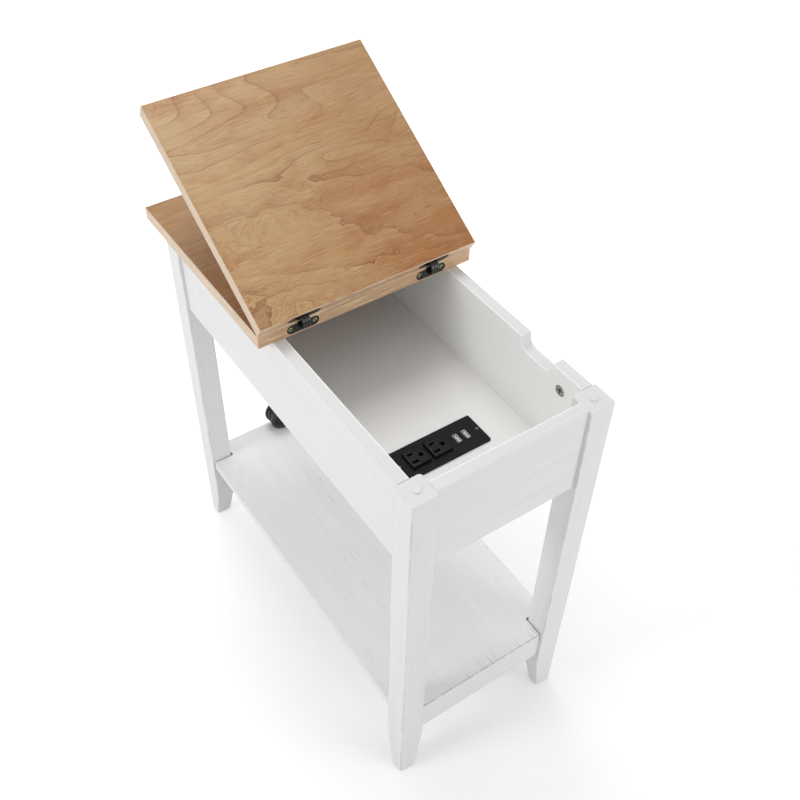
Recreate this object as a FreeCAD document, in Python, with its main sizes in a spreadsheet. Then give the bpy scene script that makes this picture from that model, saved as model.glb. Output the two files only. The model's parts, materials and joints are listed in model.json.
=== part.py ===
import FreeCAD, Part
import math
import operator
import os
import Sketcher
from types import SimpleNamespace

# A lift top end table: a narrow box on four legs, with a shelf below and a top in two halves.
# The rear half is fixed. The front half is a lid that swings up and back on two concealed
# hinges, and opens a storage box with an outlet strip in its floor.
# Millimetres, +Z up, the front end faces -Y. The model rests with its lid open, leaning back
# on the hinges' stops. The pieces are drawn about the middle of the body, and the finished
# table then moves so that the origin is on the ground under the middle of its outline.

# ---------------------------------------------------------------- driving sizes

SIZES = {
    # whole table
    "overall_height": 610.0,
    "body_width": 270.0,
    "body_length": 570.0,
    # top and lid
    "top_width": 300.0,
    "top_half_length": 300.0,
    "top_thickness": 18.0,
    "top_joint_gap": 1.0,
    "top_edge_round": 0.8,
    "lid_open_angle": 149.3,
    # legs
    "leg_side": 34.0,
    "leg_edge_round": 1.6,
    "leg_inner_round": 4.5,
    "leg_top_drop": 1.2,
    "foot_taper_across": 9.5,
    "foot_taper_along": 14.0,
    "foot_taper_height": 72.0,
    "glide_diameter": 17.0,
    "glide_height": 2.5,
    "glide_nail_diameter": 2.4,
    "glide_nail_length": 14.0,
    "bumper_diameter": 9.0,
    "bumper_proud": 0.8,
    # aprons and box floor
    "apron_thickness": 15.0,
    "apron_height": 128.0,
    "apron_setback": 4.5,
    "floor_thickness": 6.0,
    "box_depth": 119.0,
    "groove_depth": 5.0,
    "groove_fit": 0.2,
    "cable_notch_width": 56.0,
    "cable_notch_depth": 17.5,
    "cable_notch_round": 12.0,
    "cable_notch_from_front": 111.0,
    # shelf
    "shelf_height": 144.5,
    "shelf_thickness": 13.0,
    "shelf_setback": 4.0,
    "shelf_side_setback": 3.0,
    "shelf_leg_gap": 1.5,
    "shelf_rail_height": 40.0,
    "shelf_rail_thickness": 15.0,
    # joinery
    "cam_diameter": 15.0,
    "cam_length": 12.5,
    "cam_inset": 31.5,
    "cam_drop": 28.0,
    "cam_spacing": 76.0,
    "cam_recess_length": 8.5,
    "cam_recess_width": 2.2,
    "cam_recess_depth": 2.0,
    "bolt_diameter": 5.4,
    "bolt_head_diameter": 6.8,
    "bolt_head_length": 4.0,
    "bolt_bore": 7.4,
    "bolt_mouth_fit": 0.3,
    "bolt_thread_diameter": 6.0,
    "bolt_thread_depth": 11.0,
    "dowel_diameter": 8.0,
    "dowel_half_length": 15.0,
    "dowel_end_gap": 0.5,
    "joinery_fit": 0.05,
    "top_cam_from_joint": 60.0,
    "top_cam_from_leg": 71.0,
    "shelf_screw_inset": 55.0,
    "shelf_screw_diameter": 4.0,
    "shelf_screw_head": 8.0,
    "shelf_screw_head_height": 2.6,
    "shelf_screw_bite": 8.0,
    "shelf_screw_counterbore": 12.0,
    # concealed hinges
    "hinge_inset": 59.5,
    "hinge_plate_length": 43.0,
    "hinge_plate_width": 12.7,
    "hinge_plate_thickness": 2.0,
    "hinge_plate_drop": 9.5,
    "hinge_cup_width": 14.6,
    "hinge_cup_wall": 1.5,
    "hinge_cup_skin": 0.8,
    "hinge_screw_spacing": 32.5,
    "hinge_screw_diameter": 3.0,
    "hinge_screw_head": 6.2,
    "hinge_screw_head_height": 1.7,
    "hinge_screw_length": 15.0,
    "link_outer_radius": 9.6,
    "link_inner_radius": 6.0,
    "link_leaf_thickness": 2.9,
    "link_leaf_gap": 0.8,
    "link_clearance": 0.35,
    "link_pin_radius": 1.0,
    # outlet strip
    "outlet_from_front": 133.2,
    "faceplate_length": 122.0,
    "faceplate_width": 47.5,
    "faceplate_thickness": 2.5,
    "faceplate_corner": 2.0,
    "housing_length": 104.0,
    "housing_width": 38.0,
    "housing_depth": 34.0,
    "housing_wall": 2.0,
    "housing_fit": 0.5,
    "block_side": 26.0,
    "block_rise": 4.5,
    "block_body_depth": 20.0,
    "block_round": 1.0,
    "block_left_offset": -32.4,
    "block_right_offset": -1.3,
    "block_fit": 0.15,
    "blade_spacing": 12.7,
    "blade_slot_thickness": 2.4,
    "blade_slot_short": 7.2,
    "blade_slot_long": 8.6,
    "blade_slot_offset": 5.9,
    "ground_hole_diameter": 5.6,
    "ground_hole_offset": 6.2,
    "contact_thickness": 0.4,
    "contact_height": 12.0,
    "bus_bar_thickness": 0.8,
    "bus_bar_width": 5.0,
    "bus_bar_overrun": 4.0,
    "usb_offset": 33.6,
    "usb_pitch": 12.9,
    "usb_length": 13.2,
    "usb_width": 5.7,
    "usb_wall": 0.35,
    "usb_depth": 14.0,
    "usb_tongue_thickness": 1.8,
    "usb_tongue_length": 11.1,
    "usb_tongue_recess": 1.5,
    "usb_fit": 0.4,
    "board_thickness": 1.6,
    "board_length": 32.0,
    "board_width": 30.0,
    "board_post": 3.0,
    "block_post": 16.0,
    "plate_screw_inset": 3.9,
    "plate_screw_diameter": 2.2,
    "plate_screw_head": 4.0,
    "plate_screw_head_height": 1.3,
    "plate_screw_length": 8.0,
    # mains cord
    "cord_diameter": 6.5,
    "relief_length": 28.0,
    "relief_inner_length": 1.0,
    "relief_radius": 6.5,
    "relief_end_radius": 4.6,
    "relief_flange_radius": 8.5,
    "relief_flange_thickness": 2.5,
    "cord_exit_offset": 30.0,
    "cord_exit_drop": 17.0,
    "clip_width": 16.0,
    "clip_length": 9.0,
    "clip_bore_slack": 0.6,
    "clip_nail_diameter": 2.0,
    "clip_nail_head": 1.0,
    "clip_ear": 7.0,
    "clip_ear_thickness": 2.5,
    "hank_length": 121.0,
    "hank_width": 33.0,
    "hank_depth": 46.0,
    "hank_round": 9.0,
    "hank_left": -23.0,
    "hank_from_back": 15.0,
    "hank_hump_length": 36.0,
    "hank_hump_width": 20.0,
    "hank_hump_rise": 26.0,
    "hank_hump_round": 4.0,
    "tie_width": 6.0,
    "tie_thickness": 1.2,
    "tie_from_left": 52.0,
    "seat_gap": 0.3,
    "plug_width": 26.0,
    "plug_height": 25.0,
    "plug_length": 30.0,
    "plug_round": 4.0,
    "plug_tail_length": 24.0,
    "plug_tail_radius": 6.5,
    "plug_tail_end_radius": 4.4,
    "plug_blade_width": 6.4,
    "plug_blade_thickness": 1.5,
    "plug_blade_length": 16.0,
    "plug_blade_rise": 4.5,
    "plug_ground_diameter": 4.8,
    "plug_ground_length": 18.0,
    "plug_ground_drop": 7.4,
    "plug_contact_bite": 6.0,
}

# The cord's route from its strain relief to the top of the hank: points chosen by hand, with
# straight runs between them that tangent arcs join.
CORD_ROUTE = [
    (30.0, -104.8, 456.0),
    (30.0, -60.0, 456.0),
    (32.0, -6.0, 461.2),
    (32.5, 52.0, 461.4),
    (33.0, 110.0, 461.2),
    (46.0, 160.0, 459.6),
    (66.0, 206.0, 457.6),
    (78.0, 250.0, 449.0),
    (81.0, 268.0, 408.0),
    (82.0, 271.0, 352.0),
    (82.5, 270.0, 302.0),
    (80.0, 270.0, 253.5),
    (80.0, 270.0, 216.0),
]
CLIP_AT = (23.0, 81.0)
ARC_SHARE = 0.45

V = FreeCAD.Vector
RIGHT, BACK, UP = V(1, 0, 0), V(0, 1, 0), V(0, 0, 1)
LEFT, FRONT, DOWN = V(-1, 0, 0), V(0, -1, 0), V(0, 0, -1)

ARITHMETIC = {"+": operator.add, "-": operator.sub, "*": operator.mul, "/": operator.truediv}


class Size:
    """A size that carries its formula over the sheet and also its number."""

    def __init__(self, formula, number):
        self.formula = formula
        self.number = number

    def __add__(self, other):
        return combined(self, "+", other)

    def __radd__(self, other):
        return combined(other, "+", self)

    def __sub__(self, other):
        return combined(self, "-", other)

    def __rsub__(self, other):
        return combined(other, "-", self)

    def __mul__(self, other):
        return combined(self, "*", other)

    def __rmul__(self, other):
        return combined(other, "*", self)

    def __truediv__(self, other):
        return combined(self, "/", other)

    def __neg__(self):
        return combined(0.0, "-", self)


def as_size(thing):
    """Plain numbers count as sizes too."""
    return thing if isinstance(thing, Size) else Size(str(float(thing)), float(thing))


def combined(left, sign, right):
    left, right = as_size(left), as_size(right)
    number = ARITHMETIC[sign](left.number, right.number)
    return Size(f"({left.formula} {sign} {right.formula})", number)


doc = FreeCAD.newDocument("lift_top_end_table")
nodes = []
places = {}


def write_sheet():
    """Fill the sheet, one named cell for each driving size, and return the sizes by name."""
    sheet = doc.addObject("Spreadsheet::Sheet", "Sizes")
    for row, (name, number) in enumerate(SIZES.items(), start=1):
        sheet.set(f"A{row}", name)
        sheet.set(f"B{row}", str(number))
        sheet.setAlias(f"B{row}", name)
    doc.recompute()
    return SimpleNamespace(**{name: Size(f"Sizes.{name}", sheet.get(name)) for name in SIZES})


s = write_sheet()

# The open table reaches from the front legs' faces to the fixed top's back edge.
outline_middle = (s.top_joint_gap / 2 + s.top_half_length - s.body_length / 2) / 2

# ---------------------------------------------------------------- helpers


def bind(obj, **sizes):
    for prop, size in sizes.items():
        obj.setExpression(prop, as_size(size).formula)
    return obj


def place(obj, x=0, y=0, z=0, turn=None):
    """Put an object's own origin at a point, turned first by a rotation if one is given."""
    places[obj.Name] = (x, y, z)
    if turn:
        obj.Placement = FreeCAD.Placement(V(), turn)
    for letter, size in zip("xyz", (x, y, z)):
        obj.setExpression(f"Placement.Base.{letter}", as_size(size).formula)
    return obj


def box(x, y, z, dx, dy, dz):
    """A block with its low corner at x, y, z."""
    block = doc.addObject("Part::Box", "Block")
    bind(block, Length=dx, Width=dy, Height=dz)
    return place(block, x, y, z)


def rod(x, y, z, radius, length, axis=UP):
    """A round rod that starts at x, y, z and runs along an axis."""
    cylinder = doc.addObject("Part::Cylinder", "Rod")
    bind(cylinder, Radius=radius, Height=length)
    return place(cylinder, x, y, z, FreeCAD.Rotation(UP, axis))


def cone(x, y, z, start_radius, end_radius, length, axis=UP):
    taper = doc.addObject("Part::Cone", "Taper")
    bind(taper, Radius1=start_radius, Radius2=end_radius, Height=length)
    return place(taper, x, y, z, FreeCAD.Rotation(UP, axis))


def fuse(*pieces):
    fusion = doc.addObject("Part::MultiFuse", "Fusion")
    fusion.Shapes = list(pieces)
    fusion.Refine = True
    return fusion


def cut(base, *tools):
    result = doc.addObject("Part::Cut", "Cut")
    result.Base = base
    result.Tool = tools[0] if len(tools) == 1 else fuse(*tools)
    return result


def common(base, tool):
    result = doc.addObject("Part::Common", "Common")
    result.Base = base
    result.Tool = tool
    return result


def rounded(base, radius, chosen=None):
    """Round the chosen edges of a piece, or all of them."""
    doc.recompute()
    edges = [n for n, edge in enumerate(base.Shape.Edges, 1) if chosen is None or chosen(edge)]
    fillet = doc.addObject("Part::Fillet", "Round")
    fillet.Base = base
    fillet.Edges = [(n, radius.number, radius.number) for n in edges]
    return fillet


def runs_along(axis):
    """A test for straight edges that run along an axis."""
    def test(edge):
        along = edge.Vertexes[-1].Point - edge.Vertexes[0].Point
        return along.cross(axis).Length < 1e-6
    return test


def group(pieces):
    compound = doc.addObject("Part::Compound", "Group")
    compound.Links = pieces
    return compound


def copy_at(master, x, y, z, turn=None):
    link = doc.addObject("App::Link", "Copy")
    link.LinkedObject = master
    link.LinkTransform = False
    return place(link, x, y, z, turn or FreeCAD.Rotation())


def node(obj, label):
    """Keep an object as a sub-part, moved so that the origin is under the table's middle."""
    x, y, z = places.get(obj.Name, (0, 0, 0))
    place(obj, x, y - outline_middle, z)
    obj.Label = label
    nodes.append(obj)
    return obj


def facing(normal, forward):
    """The rotation that takes +Z to a normal and +X to a direction square to it."""
    return FreeCAD.Rotation(forward, normal.cross(forward), normal, "ZXY")


# ---------------------------------------------------------------- places worked out once

top_underside = s.overall_height - s.top_thickness
leg_top = top_underside - s.leg_top_drop
apron_bottom = top_underside - s.apron_height
floor_top = top_underside - s.box_depth
floor_bottom = floor_top - s.floor_thickness
apron_mid = s.apron_setback + s.apron_thickness / 2
inner_half_width = s.body_width / 2 - s.apron_setback - s.apron_thickness
inner_half_length = s.body_length / 2 - s.apron_setback - s.apron_thickness
cam_heights = (s.apron_height - s.cam_drop, s.apron_height - s.cam_drop - s.cam_spacing)
dowel_height = s.apron_height - s.cam_drop - s.cam_spacing / 2
outlet_y = s.outlet_from_front - s.body_length / 2
rail_bottom = s.shelf_height - s.shelf_thickness - s.shelf_rail_height
rail_dowel_heights = (s.shelf_rail_height / 4, s.shelf_rail_height * 3 / 4)
rail_mid = s.shelf_setback + s.shelf_rail_thickness / 2
hinge_out = s.top_width / 2 - s.hinge_inset
hinge_lines = {"left": -hinge_out, "right": hinge_out}
top_cam_ys = (s.top_cam_from_joint, s.body_length / 2 - s.leg_side - s.top_cam_from_leg)
faceplate_top = floor_top + s.faceplate_thickness
bolt_tip_radius = s.bolt_thread_diameter / 2
bolt_socket_radius = bolt_tip_radius + s.joinery_fit
dowel_socket_radius = s.dowel_diameter / 2 + s.joinery_fit
dowel_socket_depth = s.dowel_half_length + s.dowel_end_gap
cam_socket_radius = s.cam_diameter / 2 + s.joinery_fit

# ---------------------------------------------------------------- fasteners


# Shares of a screw's head that its cross recess takes, and of its shank that its point keeps.
RECESS_REACH = 0.55
RECESS_WIDTH = 0.16
RECESS_DEPTH = 0.6
POINT_SHARE = 0.1


def cross_recess(reach, width, depth):
    """Two crossed slots, cut down from a face at the origin, as one tool."""
    bars = []
    for dx, dy in ((reach, width), (width, reach)):
        bars.append(box(-dx / 2, -dy / 2, -depth, dx, dy, depth * 2))
    return fuse(*bars)


def wood_screw(head, head_height, shank, length):
    """A countersunk screw, its head's face at the origin, pointing down."""
    tip = shank
    top = cone(0, 0, 0, head / 2, shank / 2, head_height, DOWN)
    stem = rod(0, 0, -head_height, shank / 2, length - head_height - tip, DOWN)
    point = cone(0, 0, tip - length, shank / 2, shank * POINT_SHARE, tip, DOWN)
    recess = cross_recess(head * RECESS_REACH, head * RECESS_WIDTH, head_height * RECESS_DEPTH)
    return cut(fuse(top, stem, point), recess)


def cam_lock():
    """A cam disc, its face at the origin, pointing down, open towards +X for its bolt."""
    disc = rod(0, 0, 0, s.cam_diameter / 2, s.cam_length, DOWN)
    start = -s.bolt_head_length / 2 - s.bolt_mouth_fit
    mouth = rod(start, 0, -s.apron_thickness / 2, s.bolt_head_diameter / 2 + s.bolt_mouth_fit,
                s.cam_diameter, RIGHT)
    recess = cross_recess(s.cam_recess_length, s.cam_recess_width, s.cam_recess_depth)
    return cut(disc, mouth, recess)


def cam_bolt():
    """A cam's bolt along +X: its head at the origin, its thread past the joint."""
    head = rod(-s.bolt_head_length / 2, 0, 0, s.bolt_head_diameter / 2, s.bolt_head_length, RIGHT)
    shaft = rod(0, 0, 0, s.bolt_diameter / 2, s.cam_inset, RIGHT)
    thread = rod(s.cam_inset, 0, 0, bolt_tip_radius, s.bolt_thread_depth, RIGHT)
    return fuse(head, shaft, thread)


# ---------------------------------------------------------------- legs

LEGS = {
    # name: the corner it stands in, and where its own +X points so that its taper faces inwards
    "leg_front_left": (FRONT + LEFT, RIGHT),
    "leg_front_right": (FRONT + RIGHT, BACK),
    "leg_back_right": (BACK + RIGHT, LEFT),
    "leg_back_left": (BACK + LEFT, FRONT),
}


def rounded_rectangle(body, height, wide, deep):
    """A sketch with its outer corner at the origin and a larger round at the inner corner."""
    outer, inner = s.leg_edge_round, s.leg_inner_round
    sketch = body.newObject("Sketcher::SketchObject", "Section")
    level = next(f for f in body.Origin.OriginFeatures if f.Role == "XY_Plane")
    sketch.AttachmentSupport = (level, [""])
    sketch.MapMode = "FlatFace"
    sketch.setExpression("AttachmentOffset.Base.z", as_size(height).formula)
    width, depth, edge, bend = wide.number, deep.number, outer.number, inner.number
    corners = [(edge, V(edge, edge)), (edge, V(width - edge, edge)),
               (bend, V(width - bend, depth - bend)), (edge, V(edge, depth - edge))]
    arcs = []
    for quarter, (radius, centre) in enumerate(corners):
        start = math.pi + quarter * math.pi / 2
        circle = Part.Circle(centre, UP, radius)
        arcs.append(sketch.addGeometry(Part.ArcOfCircle(circle, start, start + math.pi / 2)))
    sides = []
    for n, arc in enumerate(arcs):
        ends = (sketch.Geometry[arc].EndPoint, sketch.Geometry[(n + 1) % 4].StartPoint)
        sides.append(sketch.addGeometry(Part.LineSegment(*ends)))
    for n in range(4):
        sketch.addConstraint(Sketcher.Constraint("Tangent", arcs[n], 2, sides[n], 1))
        sketch.addConstraint(Sketcher.Constraint("Tangent", sides[n], 2, arcs[(n + 1) % 4], 1))
        sketch.addConstraint(Sketcher.Constraint(("Horizontal", "Vertical")[n % 2], sides[n]))
    for arc, radius in zip(arcs, (outer, outer, inner, outer)):
        row = sketch.addConstraint(Sketcher.Constraint("Radius", arc, radius.number))
        sketch.setExpression(f"Constraints[{row}]", radius.formula)
    sketch.addConstraint(Sketcher.Constraint("PointOnObject", sides[0], 1, -1))
    sketch.addConstraint(Sketcher.Constraint("PointOnObject", sides[3], 1, -2))
    for kind, line, size in (("DistanceX", sides[1], wide), ("DistanceY", sides[2], deep)):
        row = sketch.addConstraint(Sketcher.Constraint(kind, -1, 1, line, 1, size.number))
        sketch.setExpression(f"Constraints[{row}]", size.formula)
    return sketch


foot_across = s.leg_side - s.foot_taper_across
foot_along = s.leg_side - s.foot_taper_along


def foot_sides(on_x):
    """The foot's sides along a leg's own X and Y; on_x says that its own X lies across the table."""
    return (foot_across, foot_along) if on_x else (foot_along, foot_across)


def leg_blank(name, on_x):
    """A square post whose two inner faces taper to the foot."""
    body = doc.addObject("PartDesign::Body", f"{name}_blank")
    foot = rounded_rectangle(body, s.glide_height, *foot_sides(on_x))
    knee = rounded_rectangle(body, s.foot_taper_height, s.leg_side, s.leg_side)
    doc.recompute()
    taper = body.newObject("PartDesign::AdditiveLoft", "Foot")
    taper.Profile = foot
    taper.Sections = [knee]
    post = body.newObject("PartDesign::Pad", "Post")
    post.Profile = knee
    post.setExpression("Length", (leg_top - s.foot_taper_height).formula)
    return body


def leg_sockets(rail_on_x):
    """Bores for the aprons' bolts and dowels, the rail's dowels and the glide's nail."""
    bores = []
    faces = ((RIGHT, LEFT, True), (BACK, FRONT, False))
    for out, inward, on_x in faces:
        def bore(height, off_face, radius, depth):
            x, y = (s.leg_side, off_face) if out == RIGHT else (off_face, s.leg_side)
            bores.append(rod(x, y, height, radius, depth, inward))
        for height in cam_heights:
            bore(apron_bottom + height, apron_mid, bolt_socket_radius, s.bolt_thread_depth)
        bore(apron_bottom + dowel_height, apron_mid, dowel_socket_radius, dowel_socket_depth)
        if on_x == rail_on_x:
            for height in rail_dowel_heights:
                bore(rail_bottom + height, rail_mid, dowel_socket_radius, dowel_socket_depth)
    nail_x, nail_y = (side / 2 for side in foot_sides(rail_on_x))
    bores.append(rod(nail_x, nail_y, s.glide_height, s.glide_nail_diameter / 2,
                     s.glide_nail_length))
    return bores


def make_legs():
    for name, (corner, forward) in LEGS.items():
        on_x = forward.y == 0
        leg = cut(leg_blank(name, on_x), *leg_sockets(on_x))
        x, y = s.body_width / 2 * corner.x, s.body_length / 2 * corner.y
        place(leg, x, y, 0, facing(UP, forward))
        node(leg, name)


def make_leg_fittings():
    """Glides nailed under the feet, and bumpers on the two front legs for the lid."""
    glides = []
    for corner, _ in LEGS.values():
        x = (s.body_width / 2 - foot_across / 2) * corner.x
        y = (s.body_length / 2 - foot_along / 2) * corner.y
        pad = rod(x, y, 0, s.glide_diameter / 2, s.glide_height)
        nail = rod(x, y, s.glide_height, s.glide_nail_diameter / 2, s.glide_nail_length)
        glides.append(fuse(pad, nail))
    node(group(glides), "foot_glides")
    bumpers = []
    for side_x in (-1, 1):
        x = (s.body_width / 2 - s.leg_side / 2) * side_x
        y = s.leg_side / 2 - s.body_length / 2
        bumpers.append(rod(x, y, leg_top, s.bumper_diameter / 2, s.leg_top_drop + s.bumper_proud))
    node(group(bumpers), "lid_bumpers")


# ---------------------------------------------------------------- aprons

side_run = s.body_length - 2 * s.leg_side
end_run = s.body_width - 2 * s.leg_side
side_face = s.body_width / 2 - s.apron_setback
end_face = s.body_length / 2 - s.apron_setback
APRONS = {
    # name: length, distance of the outer face from the middle, direction the outer face looks
    "apron_front": (end_run, end_face, FRONT),
    "apron_right": (side_run, side_face, RIGHT),
    "apron_back": (end_run, end_face, BACK),
    "apron_left": (side_run, side_face, LEFT),
}


def board_directions(outward):
    """The directions along a board and into the table, seen from the board's outside."""
    return UP.cross(outward), -outward


def on_apron(outward, face, x, y):
    """Where a point along and into an apron lies in the table."""
    along, inward = board_directions(outward)
    depth = y - face
    return x * along.x + depth * inward.x, x * along.y + depth * inward.y


def end_bores(length, thickness, heights, radius, depth):
    """Bores in both ends of a board that lies along X."""
    bores = []
    for height in heights:
        bores.append(rod(-length / 2, thickness / 2, height, radius, depth, RIGHT))
        bores.append(rod(length / 2, thickness / 2, height, radius, depth, LEFT))
    return bores


def cam_pockets(length):
    """Cam pockets in the inner face and the bolt bores that lead to them from the ends."""
    tools = end_bores(length, s.apron_thickness, cam_heights, s.bolt_bore / 2, s.cam_inset)
    for height in cam_heights:
        for side in (-1, 1):
            x = (length / 2 - s.cam_inset) * side
            tools.append(rod(x, s.apron_thickness, height, cam_socket_radius, s.cam_length, FRONT))
    return tools


def top_cam_pockets(direction):
    """Pockets in a side apron for the cams that hold the fixed top down."""
    tools = []
    for y in top_cam_ys:
        x = y * direction
        height = s.apron_height - s.cam_inset
        tools.append(rod(x, s.apron_thickness, height, cam_socket_radius, s.cam_length, FRONT))
        tools.append(rod(x, s.apron_thickness / 2, height, s.bolt_bore / 2, s.cam_inset))
    return tools


def cable_notch():
    """The scoop in the right apron's top edge that lets cords out past the closed lid."""
    x = s.cable_notch_from_front - s.body_length / 2
    width, thickness = s.cable_notch_width, s.apron_thickness
    block = box(x - width / 2, -thickness / 2, s.apron_height - s.cable_notch_depth, width,
                thickness * 2, s.cable_notch_depth + s.cable_notch_round)
    middle = (s.apron_height - s.cable_notch_depth / 2).number

    def is_low(edge):
        return runs_along(BACK)(edge) and edge.CenterOfMass.z < middle

    return rounded(block, s.cable_notch_round, is_low)


def make_aprons():
    groove_bottom = floor_bottom - apron_bottom
    for name, (length, face, outward) in APRONS.items():
        board = box(-length / 2, 0, 0, length, s.apron_thickness, s.apron_height)
        groove = box(-length / 2, s.apron_thickness - s.groove_depth, groove_bottom, length,
                     s.groove_depth * 2, s.floor_thickness + s.groove_fit)
        tools = [groove] + cam_pockets(length)
        tools += end_bores(length, s.apron_thickness, (dowel_height,), dowel_socket_radius,
                           dowel_socket_depth)
        if name in ("apron_right", "apron_left"):
            tools += top_cam_pockets(1 if name == "apron_right" else -1)
        if name == "apron_right":
            tools.append(cable_notch())
        apron = cut(board, *tools)
        x, y = on_apron(outward, face, as_size(0), as_size(0))
        place(apron, x, y, apron_bottom, facing(UP, board_directions(outward)[0]))
        node(apron, name)


def make_apron_fasteners():
    """Two cams with their bolts, and a dowel, at each end of each apron."""
    lock, bolt = cam_lock(), cam_bolt()
    locks, bolts, dowels = [], [], []
    for length, face, outward in APRONS.values():
        along, inward = board_directions(outward)
        for side in (-1, 1):
            forward = along * side
            cam_x = (length / 2 - s.cam_inset) * side
            for height in cam_heights:
                x, y = on_apron(outward, face, cam_x, s.apron_thickness)
                turn = facing(inward, forward)
                locks.append(copy_at(lock, x, y, apron_bottom + height, turn))
                x, y = on_apron(outward, face, cam_x, s.apron_thickness / 2)
                bolts.append(copy_at(bolt, x, y, apron_bottom + height, turn))
            start = (length / 2 - s.dowel_half_length) * side
            x, y = on_apron(outward, face, start, s.apron_thickness / 2)
            dowels.append(rod(x, y, apron_bottom + dowel_height, s.dowel_diameter / 2,
                              s.dowel_half_length * 2, forward))
    node(group(locks), "cam_locks")
    node(group(bolts), "cam_bolts")
    node(group(dowels), "apron_dowels")


def make_top_fasteners():
    """Cams in the side aprons, with upright bolts, that hold the fixed top down."""
    lock, bolt = cam_lock(), cam_bolt()
    locks, bolts = [], []
    height = top_underside - s.cam_inset
    for side, inward in ((-1, RIGHT), (1, LEFT)):
        for y in top_cam_ys:
            turn = facing(inward, UP)
            locks.append(copy_at(lock, inner_half_width * side, y, height, turn))
            x = (inner_half_width + s.apron_thickness / 2) * side
            bolts.append(copy_at(bolt, x, y, height, turn))
    node(group(locks), "top_cam_locks")
    node(group(bolts), "top_cam_bolts")


# ---------------------------------------------------------------- box floor and shelf


def corner_notches(z, thickness, gap):
    """Cutters that clear the four legs from a panel."""
    reach = s.leg_side + gap
    notches = []
    for corner, _ in LEGS.values():
        x = s.body_width / 2 * corner.x - reach
        y = s.body_length / 2 * corner.y - reach
        notches.append(box(x, y, z - thickness, reach * 2, reach * 2, thickness * 3))
    return notches


def plate_screw_sites():
    offset = s.faceplate_length / 2 - s.plate_screw_inset
    return [(offset * side, outlet_y) for side in (-1, 1)]


def make_box_floor():
    half_x = inner_half_width + s.groove_depth - s.groove_fit
    half_y = inner_half_length + s.groove_depth - s.groove_fit
    panel = box(-half_x, -half_y, floor_bottom, half_x * 2, half_y * 2, s.floor_thickness)
    tools = corner_notches(floor_bottom, s.floor_thickness, s.groove_fit)
    length = s.housing_length + 2 * s.housing_fit
    width = s.housing_width + 2 * s.housing_fit
    tools.append(box(-length / 2, outlet_y - width / 2, floor_bottom - s.floor_thickness / 2,
                     length, width, s.floor_thickness * 2))
    for x, y in plate_screw_sites():
        tools.append(rod(x, y, floor_bottom, s.plate_screw_diameter / 2, s.floor_thickness))
    node(cut(panel, *tools), "box_floor")


def make_shelf():
    half_x = s.body_width / 2 - s.shelf_side_setback
    half_y = s.body_length / 2 - s.shelf_setback
    bottom = s.shelf_height - s.shelf_thickness
    panel = box(-half_x, -half_y, bottom, half_x * 2, half_y * 2, s.shelf_thickness)
    pilots = []
    for x, y in shelf_screw_sites():
        pilots.append(rod(x, y, bottom, s.shelf_screw_diameter / 2, s.shelf_screw_bite))
    notches = corner_notches(bottom, s.shelf_thickness, s.shelf_leg_gap)
    node(cut(panel, *notches, *pilots), "shelf_panel")


def shelf_screw_sites():
    x = s.body_width / 2 - s.shelf_screw_inset
    y = s.body_length / 2 - rail_mid
    return [(x * side_x, y * side_y) for side_x in (-1, 1) for side_y in (-1, 1)]


def make_shelf_rails():
    """A rail under each end of the shelf, dowelled to the legs and screwed up into the panel."""
    thickness, tall = s.shelf_rail_thickness, s.shelf_rail_height
    screw_x = s.body_width / 2 - s.shelf_screw_inset
    for name, outward in (("shelf_rail_front", FRONT), ("shelf_rail_back", BACK)):
        board = box(-end_run / 2, 0, 0, end_run, thickness, tall)
        tools = end_bores(end_run, thickness, rail_dowel_heights, dowel_socket_radius,
                          dowel_socket_depth)
        for side in (-1, 1):
            x = screw_x * side
            tools.append(rod(x, thickness / 2, 0, s.shelf_screw_diameter / 2, tall))
            tools.append(rod(x, thickness / 2, 0, s.shelf_screw_head / 2 + s.joinery_fit,
                             s.shelf_screw_counterbore))
        rail = cut(board, *tools)
        y = (s.body_length / 2 - s.shelf_setback) * outward.y
        place(rail, 0, y, rail_bottom, facing(UP, board_directions(outward)[0]))
        node(rail, name)


def make_shelf_fasteners():
    dowels = []
    for side_y in (-1, 1):
        y = (s.body_length / 2 - rail_mid) * side_y
        for side_x, forward in ((-1, LEFT), (1, RIGHT)):
            x = (end_run / 2 - s.dowel_half_length) * side_x
            for height in rail_dowel_heights:
                dowels.append(rod(x, y, rail_bottom + height, s.dowel_diameter / 2,
                                  s.dowel_half_length * 2, forward))
    node(group(dowels), "shelf_dowels")
    screws = []
    seat = rail_bottom + s.shelf_screw_counterbore
    for x, y in shelf_screw_sites():
        head = rod(x, y, seat - s.shelf_screw_head_height, s.shelf_screw_head / 2,
                   s.shelf_screw_head_height)
        reach = s.shelf_rail_height - s.shelf_screw_counterbore + s.shelf_screw_bite
        shank = rod(x, y, seat, s.shelf_screw_diameter / 2, reach)
        screws.append(fuse(head, shank))
    node(group(screws), "shelf_screws")


# ---------------------------------------------------------------- top, lid and hinges
# These pieces are drawn about the hinge axis, with the lid shut: +Y is the fixed side and -Y
# the lid's side. The lid's pieces then turn back about the axis by the open angle.

half_gap = s.top_joint_gap / 2
cavity_outer = s.link_outer_radius + s.link_clearance
cavity_inner = s.link_inner_radius - s.link_clearance
link_width = 3 * s.link_leaf_thickness + 2 * s.link_leaf_gap
cavity_width = link_width + 2 * s.link_clearance
link_limit = s.hinge_cup_skin + s.link_clearance
SIDES = {"fixed": BACK, "lid": FRONT}


def span(outward, start, length):
    """The low corner in Y of a block that starts off the axis on one side and runs outwards."""
    return start if outward.y > 0 else -start - length


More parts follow.
